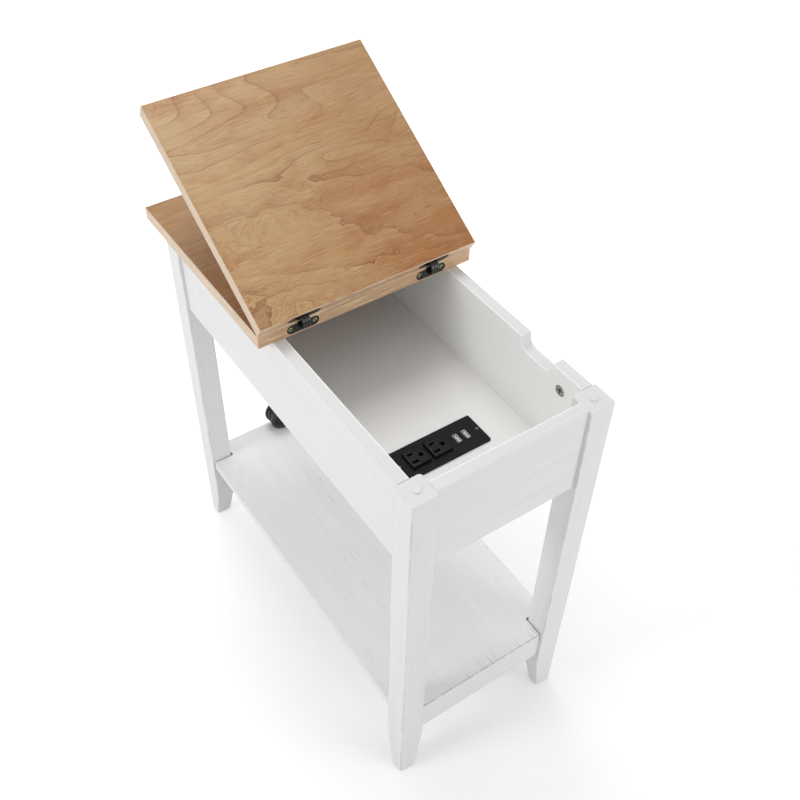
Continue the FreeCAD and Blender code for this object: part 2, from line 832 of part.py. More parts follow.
def stadium(x, outward, start, depth):
    """The hinge plate's outline: a strip with round ends, lying in the panel's edge."""
    straight = s.hinge_plate_length - s.hinge_plate_width
    drop, radius = -s.hinge_plate_drop, s.hinge_plate_width / 2
    strip = box(x - straight / 2, span(outward, start, depth), drop - radius, straight, depth,
                s.hinge_plate_width)
    ends = [rod(x + straight / 2 * end, start * outward.y, drop, radius, depth, outward)
            for end in (-1, 1)]
    return fuse(strip, *ends)


def hinge_cup(x, outward):
    """The block behind the plate that the links fold into."""
    depth = cavity_outer + s.hinge_cup_wall - half_gap
    bottom = -cavity_outer - s.hinge_cup_wall
    return box(x - s.hinge_cup_width / 2, span(outward, half_gap, depth), bottom,
               s.hinge_cup_width, depth, -s.hinge_cup_skin - bottom)


def hinge_screw_sites(x, outward):
    """The centres of a hinge plate's two screws, on its face."""
    return [(x + s.hinge_screw_spacing / 2 * end, half_gap * outward.y, -s.hinge_plate_drop)
            for end in (-1, 1)]


def screw_bores(x, outward):
    return [rod(*site, s.hinge_screw_diameter / 2, s.hinge_screw_length, outward)
            for site in hinge_screw_sites(x, outward)]


def screw_sinks(x, outward):
    return [cone(*site, s.hinge_screw_head / 2, s.hinge_screw_diameter / 2,
                 s.hinge_screw_head_height, outward) for site in hinge_screw_sites(x, outward)]


def ring(x, outer, inner, width):
    """A ring about the hinge axis."""
    rim = rod(x - width / 2, 0, 0, outer, width, RIGHT)
    hole = rod(x - width, 0, 0, inner, width * 2, RIGHT)
    return cut(rim, hole)


def set_on_axis(obj, opened, x=0):
    """Put a piece drawn about the hinge axis into the table, turned back by an angle."""
    obj.Placement = FreeCAD.Placement(V(), FreeCAD.Rotation(LEFT, as_size(opened).number))
    obj.setExpression("Placement.Rotation.Angle", as_size(opened).formula)
    return place(obj, x, 0, s.overall_height)


def opened_by(outward):
    return as_size(0) if outward == BACK else s.lid_open_angle


def make_top_panels():
    """The fixed top and the lid: boards with eased edges and mortises for the hinges."""
    for outward in SIDES.values():
        blank = box(-s.top_width / 2, span(outward, half_gap, s.top_half_length),
                    -s.top_thickness, s.top_width, s.top_half_length, s.top_thickness)
        board = rounded(blank, s.top_edge_round)
        tools = []
        for x in hinge_lines.values():
            tools.append(stadium(x, outward, half_gap, s.hinge_plate_thickness))
            tools.append(hinge_cup(x, outward))
            tools += screw_bores(x, outward)
        if outward == BACK:
            for side_x in (-1, 1):
                x = (inner_half_width + s.apron_thickness / 2) * side_x
                for y in top_cam_ys:
                    tools.append(rod(x, y, -s.top_thickness, bolt_socket_radius,
                                     s.bolt_thread_depth))
        panel = set_on_axis(cut(board, *tools), opened_by(outward))
        node(panel, "fixed_top" if outward == BACK else "lid")


def make_hinge_leaves():
    for hinge, x in hinge_lines.items():
        for side_name, outward in SIDES.items():
            plate = stadium(x, outward, half_gap, s.hinge_plate_thickness)
            solid = fuse(plate, hinge_cup(x, outward))
            cavity = ring(x, cavity_outer, cavity_inner, cavity_width)
            leaf = cut(solid, cavity, *screw_bores(x, outward), *screw_sinks(x, outward))
            set_on_axis(leaf, opened_by(outward))
            node(leaf, f"hinge_leaf_{side_name}_{hinge}")


def make_hinge_links():
    """Three curved leaves on a pin, which fold into both cups and turn half as far as the lid."""
    pitch = s.link_leaf_thickness + s.link_leaf_gap
    for hinge, x in hinge_lines.items():
        leaves = [ring(x + pitch * place_in_row, s.link_outer_radius, s.link_inner_radius,
                       s.link_leaf_thickness) for place_in_row in (-1, 0, 1)]
        pin_depth = (s.link_outer_radius + s.link_inner_radius) / 2
        pin = rod(x - link_width / 2, 0, -pin_depth, s.link_pin_radius, link_width, RIGHT)
        reach = s.link_outer_radius * 2
        below = box(x - link_width, -reach, -reach, link_width * 2, reach * 2, reach - link_limit)
        link = common(fuse(*leaves, pin), below)
        set_on_axis(link, s.lid_open_angle / 2)
        node(link, f"hinge_link_{hinge}")


def make_hinge_screws():
    screw = wood_screw(s.hinge_screw_head, s.hinge_screw_head_height, s.hinge_screw_diameter,
                       s.hinge_screw_length)
    for side_name, outward in SIDES.items():
        copies = []
        for x in hinge_lines.values():
            for site in hinge_screw_sites(x, outward):
                copies.append(copy_at(screw, *site, FreeCAD.Rotation(UP, -outward)))
        node(set_on_axis(group(copies), opened_by(outward)), f"hinge_screws_{side_name}")


# ---------------------------------------------------------------- outlet strip

block_xs = {"left": s.block_left_offset, "right": s.block_right_offset}
usb_xs = (s.usb_offset - s.usb_pitch / 2, s.usb_offset + s.usb_pitch / 2)
block_top = faceplate_top + s.block_rise
block_bottom = faceplate_top - s.block_body_depth
usb_bottom = faceplate_top - s.usb_depth
board_top = usb_bottom
board_bottom = board_top - s.board_thickness
bar_bottom = block_bottom - s.bus_bar_thickness


def block_slots(x):
    """Blade slots and the ground hole of one outlet: x, y and size of each opening."""
    slots = []
    for side, length in ((1, s.blade_slot_short), (-1, s.blade_slot_long)):
        slots.append((x - s.blade_slot_offset, outlet_y + s.blade_spacing / 2 * side, length))
    return slots


def make_faceplate():
    plate = rounded(box(-s.faceplate_length / 2, outlet_y - s.faceplate_width / 2, floor_top,
                        s.faceplate_length, s.faceplate_width, s.faceplate_thickness),
                    s.faceplate_corner, runs_along(UP))
    tools = []
    opening = s.block_side + 2 * s.block_fit
    cut_bottom = floor_top - s.faceplate_thickness / 2
    for x in block_xs.values():
        tools.append(box(x - opening / 2, outlet_y - opening / 2, cut_bottom, opening, opening,
                         s.faceplate_thickness * 2))
    for x in usb_xs:
        width, length = s.usb_width + 2 * s.usb_fit, s.usb_length + 2 * s.usb_fit
        tools.append(box(x - width / 2, outlet_y - length / 2, cut_bottom, width, length,
                         s.faceplate_thickness * 2))
    for x, y in plate_screw_sites():
        tools.append(cone(x, y, faceplate_top, s.plate_screw_head / 2, s.plate_screw_diameter / 2,
                          s.plate_screw_head_height, DOWN))
        tools.append(rod(x, y, floor_top, s.plate_screw_diameter / 2, s.faceplate_thickness))
    node(cut(plate, *tools), "outlet_faceplate")


def make_housing():
    """The open-topped box under the faceplate, with a bore for the cord's strain relief."""
    wall = s.housing_wall
    shell = box(-s.housing_length / 2, outlet_y - s.housing_width / 2, floor_top - s.housing_depth,
                s.housing_length, s.housing_width, s.housing_depth)
    hollow = box(wall - s.housing_length / 2, outlet_y - s.housing_width / 2 + wall,
                 floor_top - s.housing_depth + wall, s.housing_length - wall * 2,
                 s.housing_width - wall * 2, s.housing_depth)
    bore = rod(s.cord_exit_offset, outlet_y, floor_top - s.cord_exit_drop,
               s.relief_radius + s.joinery_fit, s.housing_width, BACK)
    node(cut(shell, hollow, bore), "outlet_housing")


def make_outlet_blocks():
    """Two square sockets that stand up through the faceplate."""
    for name, x in block_xs.items():
        block = rounded(box(x - s.block_side / 2, outlet_y - s.block_side / 2, block_bottom,
                            s.block_side, s.block_side, block_top - block_bottom),
                        s.block_round, runs_along(UP))
        tools = []
        for slot_x, slot_y, length in block_slots(x):
            tools.append(box(slot_x - length / 2, slot_y - s.blade_slot_thickness / 2,
                             block_bottom, length, s.blade_slot_thickness,
                             block_top - block_bottom))
        tools.append(rod(x + s.ground_hole_offset, outlet_y, block_bottom,
                         s.ground_hole_diameter / 2, block_top - block_bottom))
        node(cut(block, *tools), f"outlet_block_{name}")


def make_contacts():
    """Spring strips on the walls of each blade slot and a sleeve in each ground hole."""
    contacts = []
    for x in block_xs.values():
        for slot_x, slot_y, length in block_slots(x):
            for side in (-1, 1):
                edge = slot_y + s.blade_slot_thickness / 2 * side
                low = edge - s.contact_thickness if side > 0 else edge
                contacts.append(box(slot_x - length / 2, low, block_bottom, length,
                                    s.contact_thickness, s.contact_height))
        outer = s.ground_hole_diameter / 2
        ground = (x + s.ground_hole_offset, outlet_y, block_bottom)
        contacts.append(cut(rod(*ground, outer, s.contact_height),
                            rod(*ground, outer - s.contact_thickness, s.contact_height)))
    node(group(contacts), "outlet_contacts")


def make_bus_bars():
    """Three strips under the sockets that join their contacts: live, neutral and ground."""
    bars = []
    for shift, y in ((-s.blade_slot_offset, outlet_y + s.blade_spacing / 2),
                     (-s.blade_slot_offset, outlet_y - s.blade_spacing / 2),
                     (s.ground_hole_offset, outlet_y)):
        start = s.block_left_offset + shift - s.bus_bar_overrun
        end = s.block_right_offset + shift + s.bus_bar_overrun
        bars.append(box(start, y - s.bus_bar_width / 2, bar_bottom, end - start,
                        s.bus_bar_width, s.bus_bar_thickness))
    node(group(bars), "bus_bars")


def make_usb_ports():
    """Two charging ports: metal shells, their tongues, and the board that carries them."""
    shells, tongues = [], []
    wall = s.usb_wall
    for x in usb_xs:
        shell = box(x - s.usb_width / 2, outlet_y - s.usb_length / 2, usb_bottom, s.usb_width,
                    s.usb_length, s.usb_depth)
        hollow = box(x - s.usb_width / 2 + wall, outlet_y - s.usb_length / 2 + wall,
                     usb_bottom + wall, s.usb_width - wall * 2, s.usb_length - wall * 2,
                     s.usb_depth)
        shells.append(cut(shell, hollow))
        tongues.append(box(x, outlet_y - s.usb_tongue_length / 2, usb_bottom + wall,
                           s.usb_tongue_thickness, s.usb_tongue_length,
                           s.usb_depth - wall - s.usb_tongue_recess))
    node(group(shells), "usb_shells")
    node(group(tongues), "usb_tongues")
    node(box(s.usb_offset - s.board_length / 2, outlet_y - s.board_width / 2, board_bottom,
             s.board_length, s.board_width, s.board_thickness), "charger_board")


def make_board_posts():
    """Posts that stand on the housing's floor and carry the board and the sockets."""
    base = floor_top - s.housing_depth + s.housing_wall
    posts = []
    for side_x in (-1, 1):
        x = s.usb_offset + (s.board_length / 2 - s.board_post) * side_x
        posts.append(box(x - s.board_post / 2, outlet_y - s.board_post, base, s.board_post,
                         s.board_post * 2, board_bottom - base))
    for x in block_xs.values():
        posts.append(box(x - s.block_post / 2, outlet_y - s.block_post / 2, base, s.block_post,
                         s.block_post, bar_bottom - base))
    node(group(posts), "housing_posts")


def make_faceplate_screws():
    screw = wood_screw(s.plate_screw_head, s.plate_screw_head_height, s.plate_screw_diameter,
                       s.plate_screw_length)
    node(group([copy_at(screw, x, y, faceplate_top) for x, y in plate_screw_sites()]),
         "faceplate_screws")


# ---------------------------------------------------------------- mains cord

shelf_top = s.shelf_height
hank_right = s.hank_left + s.hank_length
hank_y = s.body_length / 2 - s.hank_from_back
hank_bottom = shelf_top + s.seat_gap + s.tie_thickness
hank_top = hank_bottom + s.hank_depth
hump_left = hank_right - s.hank_hump_length
plug_bottom = hank_top + s.tie_thickness
plug_axis = plug_bottom + s.plug_height / 2
plug_back = hump_left - s.plug_tail_length
plug_front = plug_back - s.plug_length


def make_strain_relief():
    """A tapered sleeve through the housing's back wall, with a flange on the outside."""
    y = outlet_y + s.housing_width / 2
    z = floor_top - s.cord_exit_drop
    neck_length = s.housing_wall + s.relief_inner_length
    neck = rod(s.cord_exit_offset, y - neck_length, z, s.relief_radius, neck_length, BACK)
    flange = rod(s.cord_exit_offset, y, z, s.relief_flange_radius, s.relief_flange_thickness, BACK)
    sleeve = cone(s.cord_exit_offset, y + s.relief_flange_thickness, z, s.relief_radius,
                  s.relief_end_radius, s.relief_length - s.relief_flange_thickness, BACK)
    node(fuse(neck, flange, sleeve), "cord_strain_relief")


def cord_path(points):
    """Straight runs joined by tangent arcs, and the radii of the arcs."""
    points = [V(*point) for point in points]
    edges, radii, start = [], [], points[0]
    for before, corner, after in zip(points, points[1:], points[2:]):
        back, ahead = before - corner, after - corner
        half_turn = (math.pi - back.getAngle(ahead)) / 2
        cut_off = ARC_SHARE * min(back.Length, ahead.Length)
        radii.append(cut_off / math.tan(half_turn))
        back.normalize()
        ahead.normalize()
        inner = corner + (back + ahead).normalize() * (
            radii[-1] / math.cos(half_turn) - radii[-1])
        first, last = corner + back * cut_off, corner + ahead * cut_off
        edges.append(Part.LineSegment(start, first).toShape())
        edges.append(Part.Arc(first, inner, last).toShape())
        start = last
    edges.append(Part.LineSegment(start, points[-1]).toShape())
    return Part.Wire(edges), radii


def cord_route():
    """The hand-picked points, with the ends on the strain relief and on the hank."""
    route = list(CORD_ROUTE)
    relief_end = outlet_y + s.housing_width / 2 + s.relief_length
    exit_height = floor_top - s.cord_exit_drop
    route[0] = (s.cord_exit_offset.number, relief_end.number, exit_height.number)
    hump_centre = hank_right - s.hank_hump_length / 2
    hump_top = hank_top + s.hank_hump_rise
    route[-1] = (hump_centre.number, hank_y.number, hump_top.number)
    return route


def make_cord():
    wire, radii = cord_path(cord_route())
    radius = s.cord_diameter.number / 2
    start = wire.Vertexes[0].Point
    direction = wire.Edges[0].tangentAt(0)
    ring_wire = Part.Wire(Part.makeCircle(radius, start, direction))
    tube = doc.addObject("Part::Feature", "Tube")
    tube.Shape = wire.makePipeShell([ring_wire], True, True)
    tube.Placement = FreeCAD.Placement()
    node(tube, "power_cord")
    expected = math.pi * radius ** 2 * wire.Length
    print("cord length", round(wire.Length), "radii", [round(r) for r in radii],
          "volume ratio", round(tube.Shape.Volume / expected, 4))


def make_hank():
    """The spare cord, folded and tied, on the shelf's back edge. Its top hump feeds the plug."""
    bundle = rounded(box(s.hank_left, hank_y - s.hank_width / 2, hank_bottom, s.hank_length,
                         s.hank_width, s.hank_depth), s.hank_round)
    sunk = s.hank_round * 2
    hump = rounded(box(hump_left, hank_y - s.hank_hump_width / 2, hank_top - sunk,
                       s.hank_hump_length, s.hank_hump_width, s.hank_hump_rise + sunk),
                   s.hank_hump_round)
    node(fuse(bundle, hump), "cord_hank")
    band = 2 * s.tie_thickness
    x = s.hank_left + s.tie_from_left - s.tie_width / 2
    outer = rounded(box(x, hank_y - s.hank_width / 2 - s.tie_thickness,
                        hank_bottom - s.tie_thickness, s.tie_width, s.hank_width + band,
                        s.hank_depth + band), s.hank_round + s.tie_thickness, runs_along(RIGHT))
    hole = rounded(box(x - s.tie_width / 2, hank_y - s.hank_width / 2, hank_bottom, s.tie_width * 2,
                       s.hank_width, s.hank_depth), s.hank_round, runs_along(RIGHT))
    node(cut(outer, hole), "hank_tie")


def make_plug():
    """A three-pin plug that lies on the hank, its blades towards -X."""
    body = rounded(box(plug_front, hank_y - s.plug_width / 2, plug_bottom, s.plug_length,
                       s.plug_width, s.plug_height), s.plug_round, runs_along(RIGHT))
    tail = cone(plug_back, hank_y, plug_axis, s.plug_tail_radius, s.plug_tail_end_radius,
                s.plug_tail_length, RIGHT)
    blade_z = plug_axis + s.plug_blade_rise
    ground_z = plug_axis - s.plug_ground_drop
    bite = s.plug_contact_bite
    blades, sockets = [], []
    for side in (-1, 1):
        y = hank_y + s.blade_spacing / 2 * side - s.plug_blade_thickness / 2
        z = blade_z - s.plug_blade_width / 2
        blades.append(box(plug_front - s.plug_blade_length, y, z, s.plug_blade_length + bite,
                          s.plug_blade_thickness, s.plug_blade_width))
        sockets.append(box(plug_front, y, z, bite, s.plug_blade_thickness, s.plug_blade_width))
    blades.append(rod(plug_front - s.plug_ground_length, hank_y, ground_z,
                      s.plug_ground_diameter / 2, s.plug_ground_length + bite, RIGHT))
    sockets.append(rod(plug_front, hank_y, ground_z, s.plug_ground_diameter / 2, bite, RIGHT))
    node(cut(fuse(body, tail), *sockets), "plug_body")
    node(group(blades), "plug_blades")


def clip_sites():
    """Where the route passes under each clip: the middle of a straight run near it."""
    sites = []
    for target in CLIP_AT:
        runs = zip(CORD_ROUTE, CORD_ROUTE[1:])
        start, end = min(runs, key=lambda run: abs(sum(p[1] for p in run) / 2 - target))
        sites.append((V(*start) + V(*end)) / 2)
    return sites


def make_cord_clips():
    """Clips under the box floor that hold the cord up, each with one nail through its ear."""
    clips, nails = [], []
    bore = s.cord_diameter / 2 + s.clip_bore_slack
    for site in clip_sites():
        x, y, z = (as_size(value) for value in site)
        wall = s.clip_width / 2 - bore
        saddle = box(x - s.clip_width / 2, y - s.clip_length / 2, z - bore - wall / 2,
                     s.clip_width, s.clip_length, floor_bottom - z + bore + wall / 2)
        ear = box(x + s.clip_width / 2, y - s.clip_length / 2,
                  floor_bottom - s.clip_ear_thickness, s.clip_ear, s.clip_length,
                  s.clip_ear_thickness)
        nail_x = x + s.clip_width / 2 + s.clip_ear / 2
        hole = rod(x, y - s.clip_length, z, bore, s.clip_length * 2, BACK)
        nail_hole = rod(nail_x, y, floor_bottom - s.clip_ear_thickness, s.clip_nail_diameter / 2,
                        s.clip_ear_thickness)
        clips.append(cut(fuse(saddle, ear), hole, nail_hole))
        head = rod(nail_x, y, floor_bottom - s.clip_ear_thickness - s.clip_nail_head,
                   s.clip_nail_diameter, s.clip_nail_head)
        stem = rod(nail_x, y, floor_bottom - s.clip_ear_thickness, s.clip_nail_diameter / 2,
                   s.clip_ear_thickness)
        nails.append(fuse(head, stem))
    node(group(clips), "cord_clips")
    node(group(nails), "cord_clip_nails")


# ---------------------------------------------------------------- build, check and write


def check_document():
    """Stop if anything failed to build."""
    for obj in doc.Objects:
        if {"Invalid", "Error"} & set(obj.State):
            raise RuntimeError(f"{obj.Name} ({obj.Label}) failed: {obj.State}")
    for obj in nodes:
        if obj.Shape.isNull() or not obj.Shape.isValid():
            raise RuntimeError(f"{obj.Label} has no valid shape")


def write_parts():
    os.makedirs("parts", exist_ok=True)
    for obj in nodes:
        obj.Shape.exportStep(f"parts/{obj.Label}.step")


make_legs()
make_leg_fittings()
make_aprons()
make_apron_fasteners()
make_top_fasteners()
make_box_floor()
make_shelf()
make_shelf_rails()
make_shelf_fasteners()
make_top_panels()
make_hinge_leaves()
make_hinge_links()
make_hinge_screws()
make_faceplate()
make_housing()
make_outlet_blocks()
make_contacts()
make_bus_bars()
make_usb_ports()
make_board_posts()
make_faceplate_screws()
make_strain_relief()
make_cord()
make_hank()
make_plug()
make_cord_clips()
doc.recompute()
check_document()
write_parts()
print(len(nodes), "nodes written")
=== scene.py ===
# %% [markdown]
# # Dressing a lift top end table
# The table's solids come ready made, in metres, with +Z up and the lid's hinge line along X.
# This lesson keeps every solid where it is and gives it a finish. A few pieces have more to them
# than their solids show, so they are modelled again: the mains cord with its tied hank, the plug,
# the ribbed strain relief, the cams and the hinges' screws with their crossed recesses, and the two
# sockets with their soft rims.

# %% Load the table
import json
import math

import bpy
from mathutils import Matrix, Vector


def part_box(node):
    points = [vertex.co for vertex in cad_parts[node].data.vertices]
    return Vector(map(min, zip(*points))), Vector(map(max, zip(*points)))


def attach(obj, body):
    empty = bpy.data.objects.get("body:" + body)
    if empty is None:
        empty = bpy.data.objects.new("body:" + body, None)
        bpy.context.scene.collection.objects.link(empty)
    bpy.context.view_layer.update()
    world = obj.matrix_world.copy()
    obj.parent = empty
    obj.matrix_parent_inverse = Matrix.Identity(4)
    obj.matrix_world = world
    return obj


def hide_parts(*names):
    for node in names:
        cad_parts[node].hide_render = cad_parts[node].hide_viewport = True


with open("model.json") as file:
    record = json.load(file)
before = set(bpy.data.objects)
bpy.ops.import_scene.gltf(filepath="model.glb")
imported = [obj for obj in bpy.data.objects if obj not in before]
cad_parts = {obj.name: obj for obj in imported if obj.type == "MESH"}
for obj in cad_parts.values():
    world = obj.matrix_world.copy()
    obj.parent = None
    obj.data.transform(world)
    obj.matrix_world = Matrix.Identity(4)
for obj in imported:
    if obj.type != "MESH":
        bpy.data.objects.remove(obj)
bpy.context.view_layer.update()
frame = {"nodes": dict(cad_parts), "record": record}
nodes = frame["nodes"]

# %% [markdown]
# ## The camera
# A table of this height is usually shown from above one corner, so that the open box can be
# looked into. A camera can be aimed with a Track To constraint, but its own axes are clearer:
# the way it looks, its right and its up. The small shift keeps the upright legs in the frame.

# %% Place the camera
CAMERA_AT = Vector((-0.51681, -0.80256, 1.39108))
TURN = math.radians(-34.1086)
TILT = math.radians(46.5314)
ROLL = math.radians(0.6431)
looks = Vector((-math.sin(TURN) * math.cos(TILT), math.cos(TURN) * math.cos(TILT),
                -math.sin(TILT)))
level = looks.cross(Vector((0, 0, 1))).normalized()
upright = level.cross(looks)
right = level * math.cos(ROLL) + upright * math.sin(ROLL)
up = upright * math.cos(ROLL) - level * math.sin(ROLL)
camera = bpy.data.objects.new("Camera", bpy.data.cameras.new("Camera"))
bpy.context.scene.collection.objects.link(camera)
camera.matrix_world = Matrix((right, up, -looks)).transposed().to_4x4()
camera.location = CAMERA_AT
camera.data.lens = 46.387
camera.data.sensor_width = 36.0
camera.data.shift_x = 0.0217
camera.data.shift_y = 0.0236
bpy.context.scene.camera = camera
print("camera at", camera.location[:])

# %% [markdown]
# ## The mains cord
# The outlet strip's lead leaves the housing under the box, runs back under the box's floor in two
# clips, turns down at the back of the table and ends in a tied hank that stands on the shelf. A
# lead is one soft tube, so one NURBS curve with a round bevel suits it. Its control points follow
# the places that it passes, and the hank's turns are more points of the same curve.

# %% Lay out the lead's route
LEAD = 0.0065
route = [
    (0.0300, -0.11255, 0.4560),
    (0.0300, -0.06775, 0.4560),
    (0.0320, -0.01375, 0.4612),
    (0.0325, 0.04425, 0.4614),
    (0.0330, 0.10225, 0.4612),
    (0.0460, 0.15225, 0.4596),
    (0.0660, 0.19825, 0.4576),
    (0.0780, 0.24225, 0.4490),
    (0.0810, 0.26025, 0.4080),
    (0.0820, 0.26325, 0.3520),
    (0.0825, 0.26225, 0.3020),
    (0.0800, 0.26200, 0.2535),
]
print("points down to the shelf:", len(route))

# %% [markdown]
# The hank is four turns side by side, each in its own lane, a lead's width further back than the
# one before, and a last fold in a fifth lane. A fold is half a circle. A quadratic NURBS follows a
# circle well when its points sit on an eight-sided outline round it, so each fold takes four
# points, and the straights take the rest.

# %% Fold the spare lead into a hank
hank_low, hank_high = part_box("cord_hank")
TURNS = 4
FOLD = 0.01975
LANE = 0.0066
STAGGER = 0.0012
STEP = math.radians(22.5)
LEFT_FOLD = (112.5, 157.5, 202.5, 247.5)
RIGHT_FOLD = (-67.5, -22.5, 22.5, 67.5)
fold_x = (hank_low.x + FOLD + LEAD / 2, hank_high.x - FOLD - LEAD / 2)
fold_z = hank_low.z + FOLD + LEAD / 2
top_z, bottom_z = fold_z + FOLD, fold_z - FOLD
lanes = [hank_low.y + LEAD / 2 + LANE * turn for turn in range(TURNS + 1)]


def fold(centre_x, centre_z, radius, y, degrees):
    """Control points of an arc that passes through the middle of each side of its outline."""
    reach = radius / math.cos(STEP)
    angles = [math.radians(angle) for angle in degrees]
    return [(centre_x + reach * math.cos(a), y, centre_z + reach * math.sin(a)) for a in angles]


turns = [(0.080, 0.2575, 0.2230), (0.080, 0.2515, 0.2010), (0.0660, lanes[0], top_z)]
for turn in range(TURNS):
    stagger = STAGGER * ((turn * 2) % 3)
    left = fold_x[0] + stagger
    turns += [(0.044, lanes[turn], top_z), (0.018, lanes[turn], top_z)]
    turns += fold(left, fold_z, FOLD, lanes[turn], LEFT_FOLD)
    turns += [(0.016, lanes[turn], bottom_z), (0.038, lanes[turn] + LANE * 0.3, bottom_z),
              (0.058, lanes[turn] + LANE * 0.8, bottom_z)]
    if turn < TURNS - 1:
        turns += fold(fold_x[1] - stagger, fold_z, FOLD, lanes[turn + 1], RIGHT_FOLD)
route += turns
print("points before the last fold:", len(route))

# %% [markdown]
# The last fold is wider. It brings the lead up over the hank and back into the plug, which lies
# on the hank with its blades to the left.

# %% Bring the end to the plug
plug_low, plug_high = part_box("plug_body")
plug_axis = Vector((0, (plug_low.y + plug_high.y) / 2, (plug_low.z + plug_high.z) / 2))
last = (plug_axis.z - bottom_z) / 2
wide_x = hank_high.x - last - LEAD / 2
wide = fold(wide_x, bottom_z + last, last, lanes[-1], RIGHT_FOLD)
LEANS_IN = 0.004
INTO_TAIL = (0.004, 0.016)
route += wide[:-1]
route += [(wide[-1][0], lanes[-1] - LEANS_IN, wide[-1][2])]
route += [(plug_high.x - deep, plug_axis.y, plug_axis.z) for deep in INTO_TAIL]
print("points of the whole lead:", len(route))

# %% [markdown]
# The bevel is one metre in radius, and each control point scales it to the lead's own half
# thickness. The caps close the ends, which are out of sight in the housing and in the plug.

# %% Draw the lead as one curve
lead_curve = bpy.data.curves.new("power_lead", "CURVE")
lead_curve.dimensions = "3D"
lead_curve.bevel_depth = 1.0
lead_curve.bevel_resolution = 4
lead_curve.resolution_u = 8
lead_curve.use_fill_caps = True
spline = lead_curve.splines.new("NURBS")
spline.points.add(len(route) - 1)
for point, place in zip(spline.points, route):
    point.co = (*place, 1.0)
    point.radius = LEAD / 2
spline.order_u = 3
spline.use_endpoint_u = True
power_lead = bpy.data.objects.new("power_lead", lead_curve)
bpy.context.scene.collection.objects.link(power_lead)
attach(power_lead, "base")
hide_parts("power_cord", "cord_hank")
print("lead drawn,", LEAD, "thick")

# %% [markdown]
# ## Modelling by hand, in code
# The operators are the ones a modeller uses. Each acts on what is selected, so a piece starts
# from an empty selection. Faces are picked by where they lie, which is the code's mouse click.

# %% Helpers for picking and shaping
def fresh(add, name, **settings):
    """Adds a primitive with nothing else selected, and names it."""
    bpy.ops.object.select_all(action="DESELECT")
    add(**settings)
    piece = bpy.context.object
    piece.name = name
    return piece


def only(piece):
    """Selects one piece and nothing else."""
    bpy.ops.object.select_all(action="DESELECT")
    bpy.context.view_layer.objects.active = piece
    piece.select_set(True)


def settled(piece):
    """Puts a piece's place, turn and scale in its mesh."""
    only(piece)
    bpy.ops.object.transform_apply(location=True, rotation=True, scale=True)


def edit(piece):
    """Opens a piece for editing with nothing in it selected."""
    only(piece)
    bpy.ops.object.mode_set(mode="EDIT")
    bpy.ops.mesh.select_all(action="DESELECT")
    bpy.ops.mesh.select_mode(type="FACE")


def pick_faces(piece, test):
    """Selects the faces whose middle and normal pass a test, while the piece is being edited."""
    bpy.ops.object.mode_set(mode="OBJECT")
    for face in piece.data.polygons:
        face.select = bool(test(face.center, face.normal))
    bpy.ops.object.mode_set(mode="EDIT")


print("picking helpers ready")

# %% [markdown]
# A moulded or turned piece has no sharp edge, so most pieces get a bevel. Shallow edges are then
# shaded smooth, which looks round with few faces.

# %% Helpers for finishing a piece
def joined(pieces):
    """Joins pieces into the first of them."""
    only(pieces[0])
    for piece in pieces[1:]:
        piece.select_set(True)
    bpy.ops.object.join()
    return pieces[0]


def done(piece, angle):
    """Leaves edit mode, settles the piece and smooths its shallow edges."""
    if bpy.context.object and bpy.context.object.mode == "EDIT":
        bpy.ops.object.mode_set(mode="OBJECT")
    settled(piece)
    bpy.ops.object.shade_smooth_by_angle(angle=math.radians(angle))
    piece.select_set(False)
    print(piece.name, len(piece.data.polygons), "faces")
    return piece


def bevelled(piece, width, segments, angle=40):
    """Rounds the sharp edges of a piece with a Bevel modifier, applied."""
    bpy.context.view_layer.objects.active = piece
    rounding = piece.modifiers.new("Rounding", "BEVEL")
    rounding.width = width
    rounding.segments = segments
    rounding.limit_method = "ANGLE"
    rounding.angle_limit = math.radians(angle)
    bpy.ops.object.modifier_apply(modifier=rounding.name)


print("finishing helpers ready")

# %% [markdown]
# ## Turned and ribbed pieces
# A strain relief and a plug's tail are round and ribbed, so that they bend softly. A disc is
# extruded again and again along its axis, and each new ring is scaled: deep for a groove, shallow
# for a rib. The rings all lie on a slow taper.

# %% Draw a round piece ring by ring
def extruded_rings(name, start, toward, rings, sides=32):
    """A closed round piece from (distance along, radius) rings, starting at a place."""
    toward = Vector(toward).normalized()
    turn = Vector((0, 0, 1)).rotation_difference(toward).to_euler()
    piece = fresh(bpy.ops.mesh.primitive_circle_add, name, vertices=sides, radius=rings[0][1],
                  fill_type="NGON", location=start, rotation=turn)
    bpy.ops.object.mode_set(mode="EDIT")
    bpy.ops.mesh.select_mode(type="FACE")
    bpy.ops.mesh.select_all(action="SELECT")
    centre = Vector(start)
    for (along, radius), (further, wider) in zip(rings, rings[1:]):
        step = toward * (further - along)
        bpy.ops.mesh.extrude_region_move(TRANSFORM_OT_translate={"value": step})
        centre += step
        grow = wider / radius
        bpy.ops.transform.resize(value=(grow, grow, grow), center_override=centre)
    bpy.ops.mesh.select_all(action="SELECT")
    bpy.ops.mesh.normals_make_consistent(inside=False)
    return piece


def ribs(start, end, first, last, count, depth):
    """Rings of a ribbed taper between two distances."""
    rings = []
    pitch = (end - start) / count
    for rib in range(count):
        at = start + pitch * rib
        radius = first + (last - first) * rib / count
        rings += [(at, radius - depth), (at + pitch * 0.15, radius - depth),
                  (at + pitch * 0.3, radius), (at + pitch * 0.85, radius)]
    rings.append((end, last - depth * 0.5))
    return rings


print("ring helpers ready")

# %% [markdown]
# ## The strain relief
# Where the lead leaves the housing, a rubber sleeve keeps it from kinking. Its neck sits in the
# wall, a flat collar stops it outside, and seven ribs shrink towards the lead. Its length and its
# place come from the solid that it replaces.

